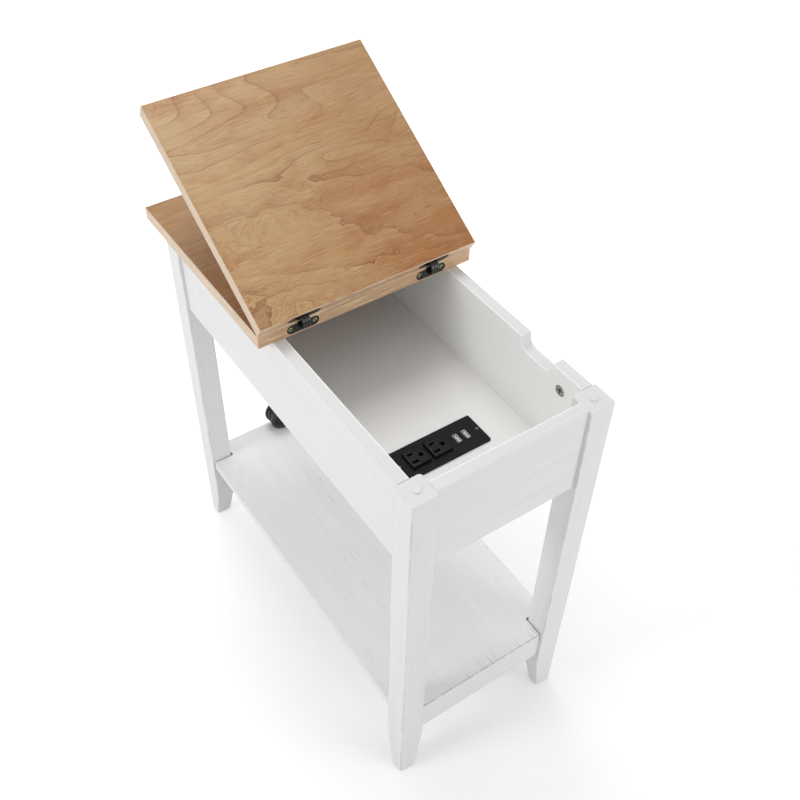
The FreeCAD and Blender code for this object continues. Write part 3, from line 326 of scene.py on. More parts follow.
# %% Make the strain relief
NECK = 0.0064
COLLAR = [(0.003001, 0.0078), (0.0034, 0.0084), (0.0051, 0.0084), (0.0055, 0.0079)]
RELIEF_RIBS = 7
SLEEVE_END = 0.0038
relief_low, relief_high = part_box("cord_strain_relief")
relief_middle = (relief_low + relief_high) / 2
relief_at = Vector((relief_middle.x, relief_low.y, relief_middle.z))
relief_length = relief_high.y - relief_low.y
relief_rings = [(0, NECK), (0.003, NECK)] + COLLAR + [(0.00551, NECK)]
relief_rings += ribs(0.0075, relief_length - 0.001, NECK, 0.0046, RELIEF_RIBS, 0.0008)
relief_rings += [(relief_length, SLEEVE_END)]
strain_relief = extruded_rings("strain_relief", relief_at, (0, 1, 0), relief_rings)
done(strain_relief, 30)
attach(strain_relief, "base")
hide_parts("cord_strain_relief")

# %% [markdown]
# ## The plug
# A moulded plug is one rubbery body: a block with a waist for the fingers, a flat face for the
# blades and a ribbed tail. It starts as a cube, a hair smaller than the solid that it replaces. It
# is subdivided, its rings from the middle back are squeezed for the waist, each by a share of its
# own, and a bevel rounds the whole of it.

# %% Make the plug's body
BODY = 0.030
SHY = 0.0006
PLUG_ROUNDING = 0.0028
RING_CUTS = 5
RING_REACH = BODY / 11
WAIST = ((0.45, 0.92), (0.62, 0.80), (0.80, 0.80), (1.0, 0.86))
plug_front = plug_low.x
plug_width = plug_high.y - plug_low.y
plug_height = plug_high.z - plug_low.z
plug = fresh(bpy.ops.mesh.primitive_cube_add, "mains_plug", size=1.0,
             location=(plug_front + BODY / 2, plug_axis.y, plug_axis.z),
             scale=(BODY, plug_width - SHY, plug_height - SHY))
bpy.ops.object.transform_apply(location=False, rotation=False, scale=True)
edit(plug)
bpy.ops.mesh.select_all(action="SELECT")
bpy.ops.mesh.subdivide(number_cuts=RING_CUTS)
for share, squeeze in WAIST:
    near = BODY * (share - 0.5)
    bpy.ops.object.mode_set(mode="OBJECT")
    for vertex in plug.data.vertices:
        vertex.select = abs(vertex.co.x - near) < RING_REACH
    bpy.ops.object.mode_set(mode="EDIT")
    bpy.ops.mesh.select_mode(type="VERT")
    bpy.ops.transform.resize(value=(1, squeeze, squeeze),
                             center_override=(plug_front + BODY * share, plug_axis.y, plug_axis.z))
bpy.ops.object.mode_set(mode="OBJECT")
bevelled(plug, PLUG_ROUNDING, 4, 50)
done(plug, 45)

# %% [markdown]
# The plug's tail is ribbed like the strain relief, so the same helpers draw it. It starts a little
# inside the body, and the two are joined, because a plug is moulded in one.

# %% Join the ribbed tail to the plug
TAIL_RIBS = 6
OVERLAP = 0.001
tail_length = plug_high.x - plug_front - BODY
tail_at = (plug_front + BODY - OVERLAP, plug_axis.y, plug_axis.z)
tail_rings = [(0, 0.0085), (0.002, 0.0078)]
tail_rings += ribs(0.003, tail_length - OVERLAP, 0.0070, 0.0049, TAIL_RIBS, 0.0009)
tail_rings += [(tail_length, SLEEVE_END)]
tail = extruded_rings("plug_tail", tail_at, (1, 0, 0), tail_rings)
done(tail, 30)
joined([plug, tail])
done(plug, 40)
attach(plug, "base")
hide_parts("plug_body")

# %% [markdown]
# ## Heads with a crossed recess
# The cams and the hinge screws are turned pieces with a crossed recess. Each kind is modelled once
# at the origin, facing up: rings first, then two crossed bars taken out with a Boolean modifier.
# Then it is copied to its seats, and each copy is turned to the way its seat faces.

# %% Helpers for cut and copied pieces
def cut_out(piece, cutter):
    """Takes one piece out of another."""
    bpy.context.view_layer.objects.active = piece
    cutting = piece.modifiers.new("Cut", "BOOLEAN")
    cutting.object = cutter
    cutting.solver = "EXACT"
    bpy.ops.object.modifier_apply(modifier=cutting.name)
    bpy.data.objects.remove(cutter)


def cross_recess(piece, top, reach, width, depth):
    """Takes two crossed bars out of a piece's top."""
    for turned in (0, 90):
        bar = fresh(bpy.ops.mesh.primitive_cube_add, "bar", size=1.0, location=(0, 0, top),
                    rotation=(0, 0, math.radians(turned)), scale=(reach, width, depth * 2))
        settled(bar)
        cut_out(piece, bar)


def copied_to(source, name, seats):
    """Copies a piece that faces +Z at the origin to its seats, and joins the copies."""
    copies = []
    settled(source)
    for place, facing in seats:
        only(source)
        bpy.ops.object.duplicate()
        copy = bpy.context.object
        copy.location = place
        copy.rotation_euler = Vector((0, 0, 1)).rotation_difference(Vector(facing)).to_euler()
        copies.append(copy)
    bpy.data.objects.remove(source)
    joined(copies).name = name
    return done(copies[0], 30)


print("copying helpers ready")

# %% [markdown]
# ## The cams
# A cam is a small cast drum, sunk in the inner face of an apron. A screwdriver turns it, and it
# draws two boards together. It has a raised rim, and a middle with a crossed slot. Two sit at each
# end of each apron, one above the other, so their seats are worked out from the box's inside.

# %% Make the cams in the aprons
CAM_DEEP = 0.0125
CAM_RIM = [(0, 0.0074), (0.0003, 0.0075), (0.0119, 0.0075), (CAM_DEEP, 0.0070)]
CAM_MIDDLE = [(CAM_DEEP + 0.000001, 0.0062), (0.0115, 0.0060), (0.011501, 0.0055),
              (0.0123, 0.0052), (0.0124, 0.0050)]
CAM_SLOT = {"reach": 0.0082, "width": 0.0023, "depth": 0.0048}
MIDDLE_Y = -0.00775
BOX_HALF = Vector((0.1155, 0.2655, 0))
CAM_AT = Vector((0.0695, 0.2195, 0))
CAM_HEIGHTS = (0.564, 0.488)
cam = extruded_rings("cam", (0, 0, -CAM_DEEP), (0, 0, 1), CAM_RIM + CAM_MIDDLE)
bpy.ops.object.mode_set(mode="OBJECT")
cross_recess(cam, 0.0, **CAM_SLOT)
cam_seats = []
for height in CAM_HEIGHTS:
    for side in (-1, 1):
        for end in (1, -1):
            beside = (side * BOX_HALF.x, MIDDLE_Y + end * CAM_AT.y, height)
            across = (side * CAM_AT.x, MIDDLE_Y + end * BOX_HALF.y, height)
            cam_seats += [(beside, (-side, 0, 0)), (across, (0, -end, 0))]
cams = copied_to(cam, "cams_cast", cam_seats)
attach(cams, "base")
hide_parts("cam_locks")

# %% [markdown]
# ## The hinges' screws
# The screws sit a little below their plates' faces, so each shows as a small bright head in a dark
# ring. A point, a shank, a cone under the head and the head's flat top are its rings.

# %% Model one hinge screw
SCREW = 0.0148
SUNK = 0.0004
SHANK = [(0, 0.0003), (0.0030, 0.0013), (0.0131, 0.0013), (0.0139, 0.0023), (0.0141, 0.00265)]
HEAD = [(SCREW - SUNK, 0.00265), (SCREW - SUNK + 0.0001, 0.0024)]
SCREW_SLOT = {"reach": 0.0042, "width": 0.0016, "depth": 0.0014}


def hinge_screw():
    screw = extruded_rings("screw", (0, 0, -SCREW), (0, 0, 1), SHANK + HEAD, sides=28)
    bpy.ops.object.mode_set(mode="OBJECT")
    cross_recess(screw, -SUNK, **SCREW_SLOT)
    return screw


print("a screw is", SCREW, "long")

# %% [markdown]
# Each hinge has two screws in either half of the top, and they face out of its edge at the joint.
# The halves stop half a millimetre short of the hinge line. The screws' places are given from that
# line, so one turn about it, by 149.3 degrees, carries the lid's screws to where the open lid is.

# %% Seat the hinges' screws
HINGE = Vector((0, MIDDLE_Y, 0.610))
LID_OPEN = 149.3
TOP_GAP = 0.0005
HINGE_X, SCREW_X = 0.0905, 0.01625
SCREW_DROP = 0.0095
opened = Matrix.Rotation(math.radians(-LID_OPEN), 4, "X")
screw_xs = [side * HINGE_X + end * SCREW_X for side in (-1, 1) for end in (-1, 1)]
fixed_places = [Vector((x, TOP_GAP, -SCREW_DROP)) for x in screw_xs]
lid_places = [Vector((x, -TOP_GAP, -SCREW_DROP)) for x in screw_xs]
fixed_seats = [(HINGE + place, (0, -1, 0)) for place in fixed_places]
lid_seats = [(HINGE + opened @ place, opened @ Vector((0, 1, 0))) for place in lid_places]
for body, seats, stands_for in (("base", fixed_seats, "hinge_screws_fixed"),
                                ("lid", lid_seats, "hinge_screws_lid")):
    screws = copied_to(hinge_screw(), stands_for + "_cut", seats)
    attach(screws, body)
    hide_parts(stands_for)

# %% [markdown]
# ## The sockets
# Each socket is a square block. Its slots are wider at the face than inside, which guides the
# blades, so the cutter for a slot is a bar whose top is extruded and widened.

# %% Shape the cutters for a socket
SLOT_WIDTH = 0.0024
FLARE = 0.0012
FLARED = (1.05, 1.75, 1)
GROUND, GROUND_FLARED = 0.0028, 0.0035
PAST = 0.001


def slot_cutter(x, y, length, low, high):
    """A bar that reaches past both faces of the block and flares below the upper one."""
    narrow = high - FLARE
    cutter = fresh(bpy.ops.mesh.primitive_cube_add, "slot", size=1.0,
                   location=(x, y, (low + narrow) / 2), scale=(length, SLOT_WIDTH, narrow - low))
    settled(cutter)
    edit(cutter)
    pick_faces(cutter, lambda centre, normal: normal.z > 0.9)
    bpy.ops.mesh.extrude_region_move(TRANSFORM_OT_translate={"value": (0, 0, FLARE)})
    bpy.ops.transform.resize(value=FLARED, center_override=(x, y, high))
    bpy.ops.mesh.extrude_region_move(TRANSFORM_OT_translate={"value": (0, 0, PAST)})
    bpy.ops.object.mode_set(mode="OBJECT")
    return cutter


def ground_cutter(x, y, low, high):
    """A round bar for the ground hole, which opens up at the face in the same way."""
    tall = high - low
    rings = [(0, GROUND), (tall + 0.0002, GROUND), (tall + 0.001, GROUND_FLARED),
             (tall + 0.002, GROUND_FLARED)]
    cutter = extruded_rings("ground", (x, y, low - PAST), (0, 0, 1), rings)
    bpy.ops.object.mode_set(mode="OBJECT")
    return cutter


print("cutters ready")

# %% [markdown]
# The two blades of a plug stand 12.7 millimetres apart, and the slot for the wider one is longer.
# The ground hole lies on the other side of the block's middle.

# %% Make the two sockets
SLOT_X, SLOT_Y = 0.0059, 0.0127 / 2
SLOT_LENGTHS = {1: 0.0072, -1: 0.0086}
GROUND_X = 0.0062
SOFT_RIM = 0.0007


def socket(stands_for):
    low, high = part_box(stands_for)
    middle = (low + high) / 2
    block = fresh(bpy.ops.mesh.primitive_cube_add, stands_for + "_flared", size=1.0, location=middle,
                  scale=high - low)
    settled(block)
    bevelled(block, SOFT_RIM, 3)
    for side, length in SLOT_LENGTHS.items():
        cut_out(block, slot_cutter(middle.x - SLOT_X, middle.y + side * SLOT_Y, length,
                                   low.z - PAST, high.z))
    cut_out(block, ground_cutter(middle.x + GROUND_X, middle.y, low.z, high.z))
    done(block, 35)
    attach(block, "base")
    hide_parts(stands_for)
    return block


sockets = [socket("outlet_block_left"), socket("outlet_block_right")]
print("sockets:", len(sockets))

# %% [markdown]
# ## Shader sums in Python
# A finish is easier to read as arithmetic than as boxes and wires. A Wire is one output of a
# node. Adding, subtracting, multiplying or raising wires makes the Math nodes.

# %% Make wires that work in sums
class Wire:
    """One output socket, with arithmetic."""

    def __init__(self, owner, socket):
        self.owner, self.socket = owner, socket

    def math(self, operation, *values):
        return self.owner.node("Math", {"operation": operation}, *values)

    def __add__(self, other):
        return self.math("ADD", self, other)

    def __sub__(self, other):
        return self.math("SUBTRACT", self, other)

    def __rsub__(self, other):
        return self.math("SUBTRACT", other, self)

    def __mul__(self, other):
        return self.math("MULTIPLY", self, other)

    def __pow__(self, other):
        return self.math("POWER", self, other)

    def __abs__(self):
        return self.math("ABSOLUTE", self)

    def fraction(self):
        return self.math("FRACT", self)

    def larger(self, other):
        return self.math("MAXIMUM", self, other)

    __radd__, __rmul__ = __add__, __mul__


print("wires ready")

# %% [markdown]
# A NodeSet is the nodes of a material or of the sky. One method adds any node, and the others are
# the recipes that this table needs: a mix of two colours, the place of a point, a stretched noise
# and a smooth step.

# %% Gather nodes in a set
class NodeSet:
    """The nodes of one material or of the sky."""

    def __init__(self, tree):
        self.tree = tree

    def node(self, kind, settings=None, *values, output=0, **named):
        """Adds a node: its settings first, then its sockets, by order or by name."""
        made = self.tree.nodes.new("ShaderNode" + kind)
        for key, value in (settings or {}).items():
            setattr(made, key, value)
        for key, value in enumerate(values):
            self.feed(made.inputs[key], value)
        for key, value in named.items():
            self.feed(made.inputs[key.replace("_", " ")], value)
        return Wire(self, made.outputs[output])

    def feed(self, socket, value):
        """Links a wire to a socket, or sets the socket to a plain value."""
        if isinstance(value, Wire):
            self.tree.links.new(value.socket, socket)
        elif value is not None:
            socket.default_value = value

    def mix(self, share, first, second):
        """Between two colours, by a share."""
        made = self.tree.nodes.new("ShaderNodeMix")
        made.data_type = "RGBA"
        for socket, value in ((0, share), (6, first), (7, second)):
            value = (*value, 1.0) if isinstance(value, tuple) and len(value) == 3 else value
            self.feed(made.inputs[socket], value)
        return Wire(self, made.outputs[2])

    def place(self):
        """Where a point lies on the piece, in metres, and its three parts."""
        vector = self.node("TexCoord", output="Object")
        parts = self.tree.nodes.new("ShaderNodeSeparateXYZ")
        self.tree.links.new(vector.socket, parts.inputs[0])
        return vector, [Wire(self, socket) for socket in parts.outputs]

    def noise(self, vector, stretch, detail=2.0, roughness=0.5, distortion=0.0):
        """Noise that changes so many times a metre along each axis."""
        scaled = self.node("VectorMath", {"operation": "MULTIPLY"}, vector, stretch)
        return self.node("TexNoise", {}, Vector=scaled, Scale=1.0, Detail=detail, Roughness=roughness,
                         Distortion=distortion)

    def between(self, value, low, high):
        """0 below low, 1 above high, smooth between."""
        return self.node("MapRange", {"interpolation_type": "SMOOTHSTEP"}, value, low, high, 0.0, 1.0)


print("node sets ready")

# %% [markdown]
# A Finish is a node set that belongs to one material. What stays the same all over is set on the
# shader at the start, and what changes over the surface is fed to it later.

# %% Make a finish of a set
class Finish(NodeSet):
    """One material with a Principled shader."""

    def __init__(self, name, roughness, **constants):
        self.material = bpy.data.materials.new(name)
        self.material.use_nodes = True
        super().__init__(self.material.node_tree)
        self.shader = self.tree.nodes["Principled BSDF"]
        self.set(Roughness=roughness, **constants)

    def set(self, **links):
        """Feeds the shader's own sockets."""
        for key, value in links.items():
            self.feed(self.shader.inputs[key.replace("_", " ")], value)

    def bump(self, height, strength, distance):
        """A relief that follows a height."""
        return self.node("Bump", {}, Strength=strength, Distance=distance, Height=height)


print("finish tools ready")

# %% [markdown]
# ## White paint brushed over wood
# The frame is painted white and then brushed back along the grain. Fine lines from the brush run
# the whole length. Sparse grey-beige dashes show where the wood comes through, gathered in
# patches, and a thin broken line of wood follows each arris of the legs. The grain runs along X, Y
# or Z, as each board was cut. Inside the box the boards are smooth, so the brush fades out there,
# and their white is lighter than the paint outside: partly the smooth foil's own white, partly
# painted light for the light that falls into the open box.

# %% Choose the paint's colours
PAINT_DARK = (0.715, 0.722, 0.735)
PAINT_LIGHT = (0.790, 0.794, 0.800)
# The inside white: partly the smooth foil's own white, partly painted light falling into the box.
INSIDE_FOIL_AND_PAINTED_LIGHT = (0.945, 0.952, 0.945)
# The shelf's top: painted light, lighter than its edges, for the light that reaches it under the box.
SHELF_TOP_LIT_DARK = (0.835, 0.845, 0.840)
SHELF_TOP_LIT_LIGHT = (0.920, 0.930, 0.922)
WOOD_SHOWING = (0.50, 0.47, 0.42)
print("paint from", PAINT_DARK, "to", PAINT_LIGHT)

# %% [markdown]
# Wear depends on where a point lies. Distances from the table's middle planes are the same for all
# four legs, so the box of one leg gives the places of every arris.

# %% Measure the frame for the paint
AXES = "XYZ"
leg_low, leg_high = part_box("leg_back_right")
arrises_x = (leg_low.x, leg_high.x)
arrises_y = (leg_low.y - MIDDLE_Y, leg_high.y - MIDDLE_Y)
print("leg arrises at", arrises_x, arrises_y, "from the middle")


def along_grain(axis, along, across):
    """How far a noise is stretched along the grain and across it."""
    return tuple(along if name == axis else across for name in AXES)


def mirrored_place(parts):
    """How far a point lies from the table's middle planes, across and along."""
    return abs(parts[0]), abs(parts[1] - MIDDLE_Y)


def close_to(finish, value, place, reach):
    """1 at a place, falling to 0 at a reach from it."""
    return finish.between(abs(value - place), reach, reach * 0.35)


# %% [markdown]
# A leg's arrises have lost some paint, so a line of wood, which a coarse noise breaks up, lies
# where a point is close to an arris both across and along the table. The aprons are brushed on
# their outer faces and edges alone, and a mask tells these from the faces inside the box.

# %% Mix the worn arrises and the smooth inside
ARRIS_WEAR = 0.42
ARRIS_REACH = 0.0022
SKIN, FADE = 0.0002, 0.002


def leg_arris(finish, place, parts):
    across, lengthwise = mirrored_place(parts)
    inner_x, outer_x = (close_to(finish, across, x, ARRIS_REACH) for x in arrises_x)
    inner_y, outer_y = (close_to(finish, lengthwise, y, ARRIS_REACH) for y in arrises_y)
    broken = finish.between(finish.noise(place, (60, 60, 22), 3, 0.7), 0.42, 0.62)
    return inner_x.larger(outer_x) * inner_y.larger(outer_y) * broken * ARRIS_WEAR


def outside_only(finish, parts, axis):
    """1 on an apron's outer face and edges, 0 on the face inside the box."""
    across, lengthwise = mirrored_place(parts)
    value, face = (lengthwise, BOX_HALF.y) if axis == "X" else (across, BOX_HALF.x)
    return finish.between(value, face + SKIN, face + SKIN + FADE)


print("wear reaches", ARRIS_REACH, "from an arris")

# %% [markdown]
# The shelf is worn most at its front edge: a thin brown line follows the edge, and short dashes
# run back from it along the grain.

# %% Wear the shelf's front edge
DASHES_REACH = 0.034
shelf_low, shelf_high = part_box("shelf_panel")
print("shelf's front edge at", shelf_low.y, "and its top at", shelf_high.z)


def shelf_edge(finish, place, parts):
    near = finish.node("MapRange", {}, parts[1], shelf_low.y, shelf_low.y + DASHES_REACH, 1.0, 0.0)
    high = finish.between(parts[2], shelf_high.z - 0.0022, shelf_high.z - 0.0008)
    line = finish.between(parts[1], shelf_low.y + 0.0020, shelf_low.y + 0.0005) * high
    broken = finish.between(finish.noise(place, (110, 1, 1), 3, 0.7), 0.34, 0.50)
    dash = finish.between(finish.noise(place, (330, 14, 1), 2), 0.58, 0.70)
    return line * (0.20 + broken * 0.55) + dash * near * near * high * 0.66


# %% [markdown]
# One function mixes the finish of every painted board. A noise stretched far along the grain draws
# the brush's lines, and a shorter one the dashes, which a patchy one gathers. The shelf's top is
# painted lighter than its edges, with colours of its own: painted light for the light that
# reaches it under the box.

# %% Mix the brushed paint
BRUSH_CONTRAST, SOFT_CONTRAST, MIDDLE_TONE = 2.3, 0.6, 0.55
DASH_SHARE = 0.42
BRUSH_RELIEF = 0.0004


def brushed_paint(name, axis, wear=1.0, worn_edge=None, inside=False, top=None):
    finish = Finish(name, 0.5, Specular_IOR_Level=0.4)
    place, parts = finish.place()
    brush = finish.noise(place, along_grain(axis, 7, 560), 3, 0.70)
    soft = finish.noise(place, along_grain(axis, 4, 60), 2)
    dash = finish.between(finish.noise(place, along_grain(axis, 48, 640), 2, 0.6), 0.62, 0.73)
    patch = finish.between(finish.noise(place, along_grain(axis, 9, 24), 2), 0.50, 0.70)
    cover = 1.0
    if inside:
        cover = outside_only(finish, parts, axis)
        brush = (brush - 0.5) * cover + 0.5
    dashes = dash * patch * (DASH_SHARE * wear) * cover
    tone = (brush - 0.5) * BRUSH_CONTRAST + (soft - 0.5) * SOFT_CONTRAST + MIDDLE_TONE
    shade = finish.mix(tone, PAINT_DARK, PAINT_LIGHT)
    if inside:
        # Inside faces take the lighter white, which is partly painted light.
        shade = finish.mix(cover, INSIDE_FOIL_AND_PAINTED_LIGHT, shade)
    # Painted light: the shelf's top takes its own lighter colours.
    if top is not None:
        upper = finish.between(parts[2], top - 0.0009, top - 0.0003)
        shade = finish.mix(upper, shade, finish.mix(tone, SHELF_TOP_LIT_DARK, SHELF_TOP_LIT_LIGHT))
    marks = dashes
    if worn_edge is not None:
        marks = dashes.larger(worn_edge(finish, place, parts))
    finish.set(Base_Color=finish.mix(marks, shade, WOOD_SHOWING),
               Roughness=0.44 + brush * 0.2 + dashes * 0.2,
               Normal=finish.bump(brush * 0.7 - dashes, 0.22, BRUSH_RELIEF))
    return finish.material


print("brushed paint ready")

# %% [markdown]
# The aprons' grain runs along them and the legs' upwards. The rails under the shelf are plain
# lengths of the same wood, and the shelf has the most wear.

# %% Paint the boards
painted = {
    "X": brushed_paint("painted_along_x", "X", inside=True),
    "Y": brushed_paint("painted_along_y", "Y", inside=True),
    "rail": brushed_paint("painted_rail", "X"),
    "Z": brushed_paint("painted_upright", "Z", 1.1, leg_arris),
    # The shelf's top gets the painted light.
    "shelf": brushed_paint("painted_shelf", "Y", 1.5, shelf_edge, top=shelf_high.z),
}
print("painted finishes:", list(painted))

# %% [markdown]
# ## The veneer
# The top is a figured, reddish veneer with its grain along X. Figured veneer is cut as a thin
# peel, so its growth rings show as thin lines in slow loops, dark on one side and fading on the
# other. They are the level lines of a soft noise, closer and more jagged towards the joint between
# the halves. Each line comes and goes, and fainter, finer lines run between them.

# %% Draw the growth rings
def growth_rings(finish, flat, along, near):
    """Shares of the sharp lines, of the shade behind them and of the fine lines between."""
    bend = finish.noise(flat, (2.2, 8.0, 1), 1.5, 0.45, 0.5)
    ripple = finish.noise(flat, (13, 15, 1), 2.0, 0.5, 0.3)
    jag = finish.noise(flat, (34, 62, 1), 2.5, 0.6)
    level = bend * 15.0 + along * 26.0 + ripple * (near * 2.3 + 0.7) + jag * (near * 0.9 + 0.15)
    rings = level.fraction()
    start = finish.between(rings, 0.0, 0.02)
    present = finish.between(finish.noise(flat, (7, 12, 1), 2, 0.6), 0.38, 0.60)
    line = (1.0 - rings) ** 24.0 * start * (0.30 + present * 0.70)
    soft = (1.0 - rings) ** 3.0 * start * (0.35 + present * 0.65)
    fine = (level * 5.3 + ripple * 2.0).fraction()
    patches = finish.between(finish.noise(flat, (5, 18, 1), 2), 0.35, 0.60)
    late = (1.0 - fine) ** 3.0 * patches
    return line, soft, late


print("ring helper ready")

# %% [markdown]
# Under the rings lie a mottled drift of browns and tans and the fibres along the grain. Over them
# lie dark pores and pale flecks. Each layer mixes one more colour over those below, by its own
# share. Towards the right and near the joint the face is painted darker and redder: near the joint
# partly the figure's own colour, and for the rest painted shade, the other side of the sheen that
# the coat shows on the far left of the lid. The fixed half is darkened all over by a painted
# shadow of the open lid.

# %% Draw the veneer's face
BROWN = (0.380, 0.163, 0.048)
TAN = (0.485, 0.322, 0.164)
MOTTLE = (0.530, 0.348, 0.160)
GRAIN_PALE = (0.555, 0.362, 0.168)
FIBRE_PALE = (0.555, 0.358, 0.162)
RUSSET_AND_PAINTED_SHADE = (0.390, 0.145, 0.026)
CHESTNUT_PAINTED_SHADE = (0.290, 0.108, 0.026)
LATE_WOOD = (0.285, 0.096, 0.022)
RING_LINE = (0.200, 0.056, 0.012)
PORE = (0.190, 0.076, 0.024)
FLECK = (0.650, 0.490, 0.310)


def figured_face(finish, flat, along, across, painted_lid_shadow):
    """The colour of the flat faces, and the two heights that texture them."""
    near = finish.between(along, 0.20, 0.05)
    line, soft, late = growth_rings(finish, flat, along, near)
    coarse = finish.noise(flat, (16, 260, 1), 3, 0.72)
    fibre = finish.noise(flat, (60, 900, 1), 3, 0.72)
    pores = finish.between(finish.noise(flat, (44, 1300, 1), 2), 0.56, 0.74)
    pale = finish.between(finish.noise(flat, (26, 1000, 1), 2), 0.60, 0.76)
    drift = finish.noise(flat, (4.0, 11, 1), 2.5, 0.58, 1.4)
    mottle = finish.noise(flat, (15, 36, 1), 2.5, 0.62, 0.9)
    shadows = finish.between(drift, 0.60, 0.40)
    rightward = finish.between(across, -0.13, 0.16)
    layers = (
        (finish.between(mottle, 0.36, 0.64) * (near * 0.16 + 0.64), MOTTLE),
        (finish.between(coarse, 0.36, 0.68) * 0.46, GRAIN_PALE),
        (finish.between(fibre, 0.40, 0.62) * 0.50, FIBRE_PALE),
        # Painted shade: darker and redder to the right and near the joint, partly the figure near the
        # joint; the painted lid shadow darkens the fixed half.
        (near * (rightward * 0.28 + shadows * 0.34 + 0.18) + painted_lid_shadow, RUSSET_AND_PAINTED_SHADE),
        (rightward * 0.34 + painted_lid_shadow, CHESTNUT_PAINTED_SHADE),
        (soft * (near * 0.30 + 0.30) + late * (near * 0.24 + 0.24), LATE_WOOD),
        (line * 0.76, RING_LINE),
        (pores * (near * 0.18 + 0.66), PORE),
        (pale * (near * 0.25 + 0.60), FLECK),
    )
    colour = finish.mix(finish.between(drift, 0.37, 0.61), BROWN, TAN)
    for share, layer in layers:
        colour = finish.mix(share, colour, layer)
    return colour, fibre, pores


print("face from", BROWN, "to", FLECK)

# %% [markdown]
# The edges carry a band of the same wood. Long streaks run along it, paler on the sides and more
# orange in the joint between the halves, and a thin light line, a painted highlight, marks each
# arris.

# %% Draw the veneer's edges
LIMED = (0.88, 0.77, 0.62)
ARRIS_HIGHLIGHT = (0.84, 0.70, 0.53)
SIDE_BAND = {"dark": (0.42, 0.280, 0.155), "light": (0.58, 0.43, 0.275), "limed": 0.28}
JOINT_BAND = {"dark": (0.46, 0.262, 0.130), "light": (0.64, 0.42, 0.235), "limed": 0.55}


def streaked(finish, around, depth, arris, dark, light, limed):
    """An edge band: fine long lines along the edge, with whitish ones among them."""
    flat = finish.node("CombineXYZ", {}, around, depth, 0.0)
    aside = finish.node("CombineXYZ", {}, around, depth, 4.0)
    lines = finish.noise(flat, (16, 620, 1), 3, 0.66)
    white = finish.between(finish.noise(aside, (20, 420, 1), 2), 0.56, 0.70)
    colour = finish.mix(finish.between(lines, 0.32, 0.68), dark, light)
    colour = finish.mix(white * limed, colour, LIMED)
    # A painted highlight along the arris.
    return finish.mix(arris, colour, ARRIS_HIGHLIGHT)


print("bands:", SIDE_BAND["dark"], "and", JOINT_BAND["dark"])

# %% [markdown]
# Each half of the top has its own sheet. The pattern is laid out from the hinge line, along the
# half and across it, so the lid's sheet leans with the lid. The edge bands take over within a
# millimetre of the ends, of the sides and of the joint.

# %% Veneer the two halves
LEAN = math.radians(180 - LID_OPEN)
TOP_HALF = 0.150
TOP_LENGTH = 0.300
THICK = 0.018
BAND_IN, BAND_OUT = 0.00075, 0.00025


def veneer(name, run, face, seed, visible_depth, painted_lid_shadow):
    """run points along the half top away from the hinge, and face out of its veneered face."""
    finish = Finish(name, 0.36, Coat_Weight=0.36, Coat_Roughness=0.32)
    place, parts = finish.place()
    from_hinge = finish.node("VectorMath", {"operation": "SUBTRACT"}, place, HINGE)
    along = finish.node("VectorMath", {"operation": "DOT_PRODUCT"}, from_hinge, run, output="Value")
    depth = finish.node("VectorMath", {"operation": "DOT_PRODUCT"}, from_hinge, face, output="Value")
    flat = finish.node("CombineXYZ", {}, parts[0] + seed, along + seed, 0.0)
    colour, fibre, pores = figured_face(finish, flat, along, parts[0], painted_lid_shadow)
    far = TOP_GAP + TOP_LENGTH
    side = finish.between(abs(parts[0]), TOP_HALF - BAND_IN, TOP_HALF - BAND_OUT)
    end = finish.between(along, far - BAND_IN, far - BAND_OUT)
    joint = finish.between(along, TOP_GAP + BAND_IN, TOP_GAP + BAND_OUT)
    # The painted highlight follows the visible arris.
    arris = close_to(finish, depth, visible_depth, 0.0012)
    broken = finish.between(finish.noise(place, (50, 50, 50), 2), 0.30, 0.52)
    around = parts[0] + along
    pale = streaked(finish, around, depth, arris * 0.35, **SIDE_BAND)
    orange = streaked(finish, around, depth, arris * broken * 0.9, **JOINT_BAND)
    colour = finish.mix(side.larger(end), colour, pale)
    colour = finish.mix(joint, colour, orange)
    finish.set(Base_Color=colour, Roughness=0.34 + fibre * 0.12,
               Normal=finish.bump(fibre * 0.5 - pores, 0.12, 0.0003))
    return finish.material


# The fixed half's last number, 0.20, is a painted shadow of the open lid over its whole face.
fixed_veneer = veneer("veneer_fixed", (0, 1, 0), (0, 0, 1), 3.7, 0.0, 0.20)
lid_veneer = veneer("veneer_lid", (0, math.cos(LEAN), math.sin(LEAN)),
                    (0, -math.sin(LEAN), math.cos(LEAN)), 1.3, THICK, 0.0)
print("veneers drawn")

# %% [markdown]
# ## Small finishes
# Plastics, metals and rubber each differ from their neighbours in roughness more than in colour.
# A fine noise gives moulded parts their spark texture and metals their brushed or cast skin.

# %% Mix a grained finish
def grained(name, dark, light, scale, roughness, metal=0.0, depth=0.00005, strength=0.2,
            stretch=(1, 1, 1), gloss=0.5):
    finish = Finish(name, roughness, Metallic=metal, Specular_IOR_Level=gloss)
    place = finish.place()[0]
    grain = finish.noise(place, tuple(scale * s for s in stretch), 3, 0.6)
    drift = finish.noise(place, (30, 30, 30), 2)
    colour = finish.mix(grain * 0.6 + drift * 0.4, dark, light)
    finish.set(Base_Color=colour, Roughness=roughness - 0.08 + grain * 0.16,
               Normal=finish.bump(grain, strength, depth))
    return finish.material


print("grained finish ready")

# %% [markdown]
# The box's floor is a foiled board, the dowels are beech, the charger's circuit board is green, and
# the rest of this group is plastic and rubber. Each entry is a darker and a lighter colour, how fine
# the grain is and how rough.

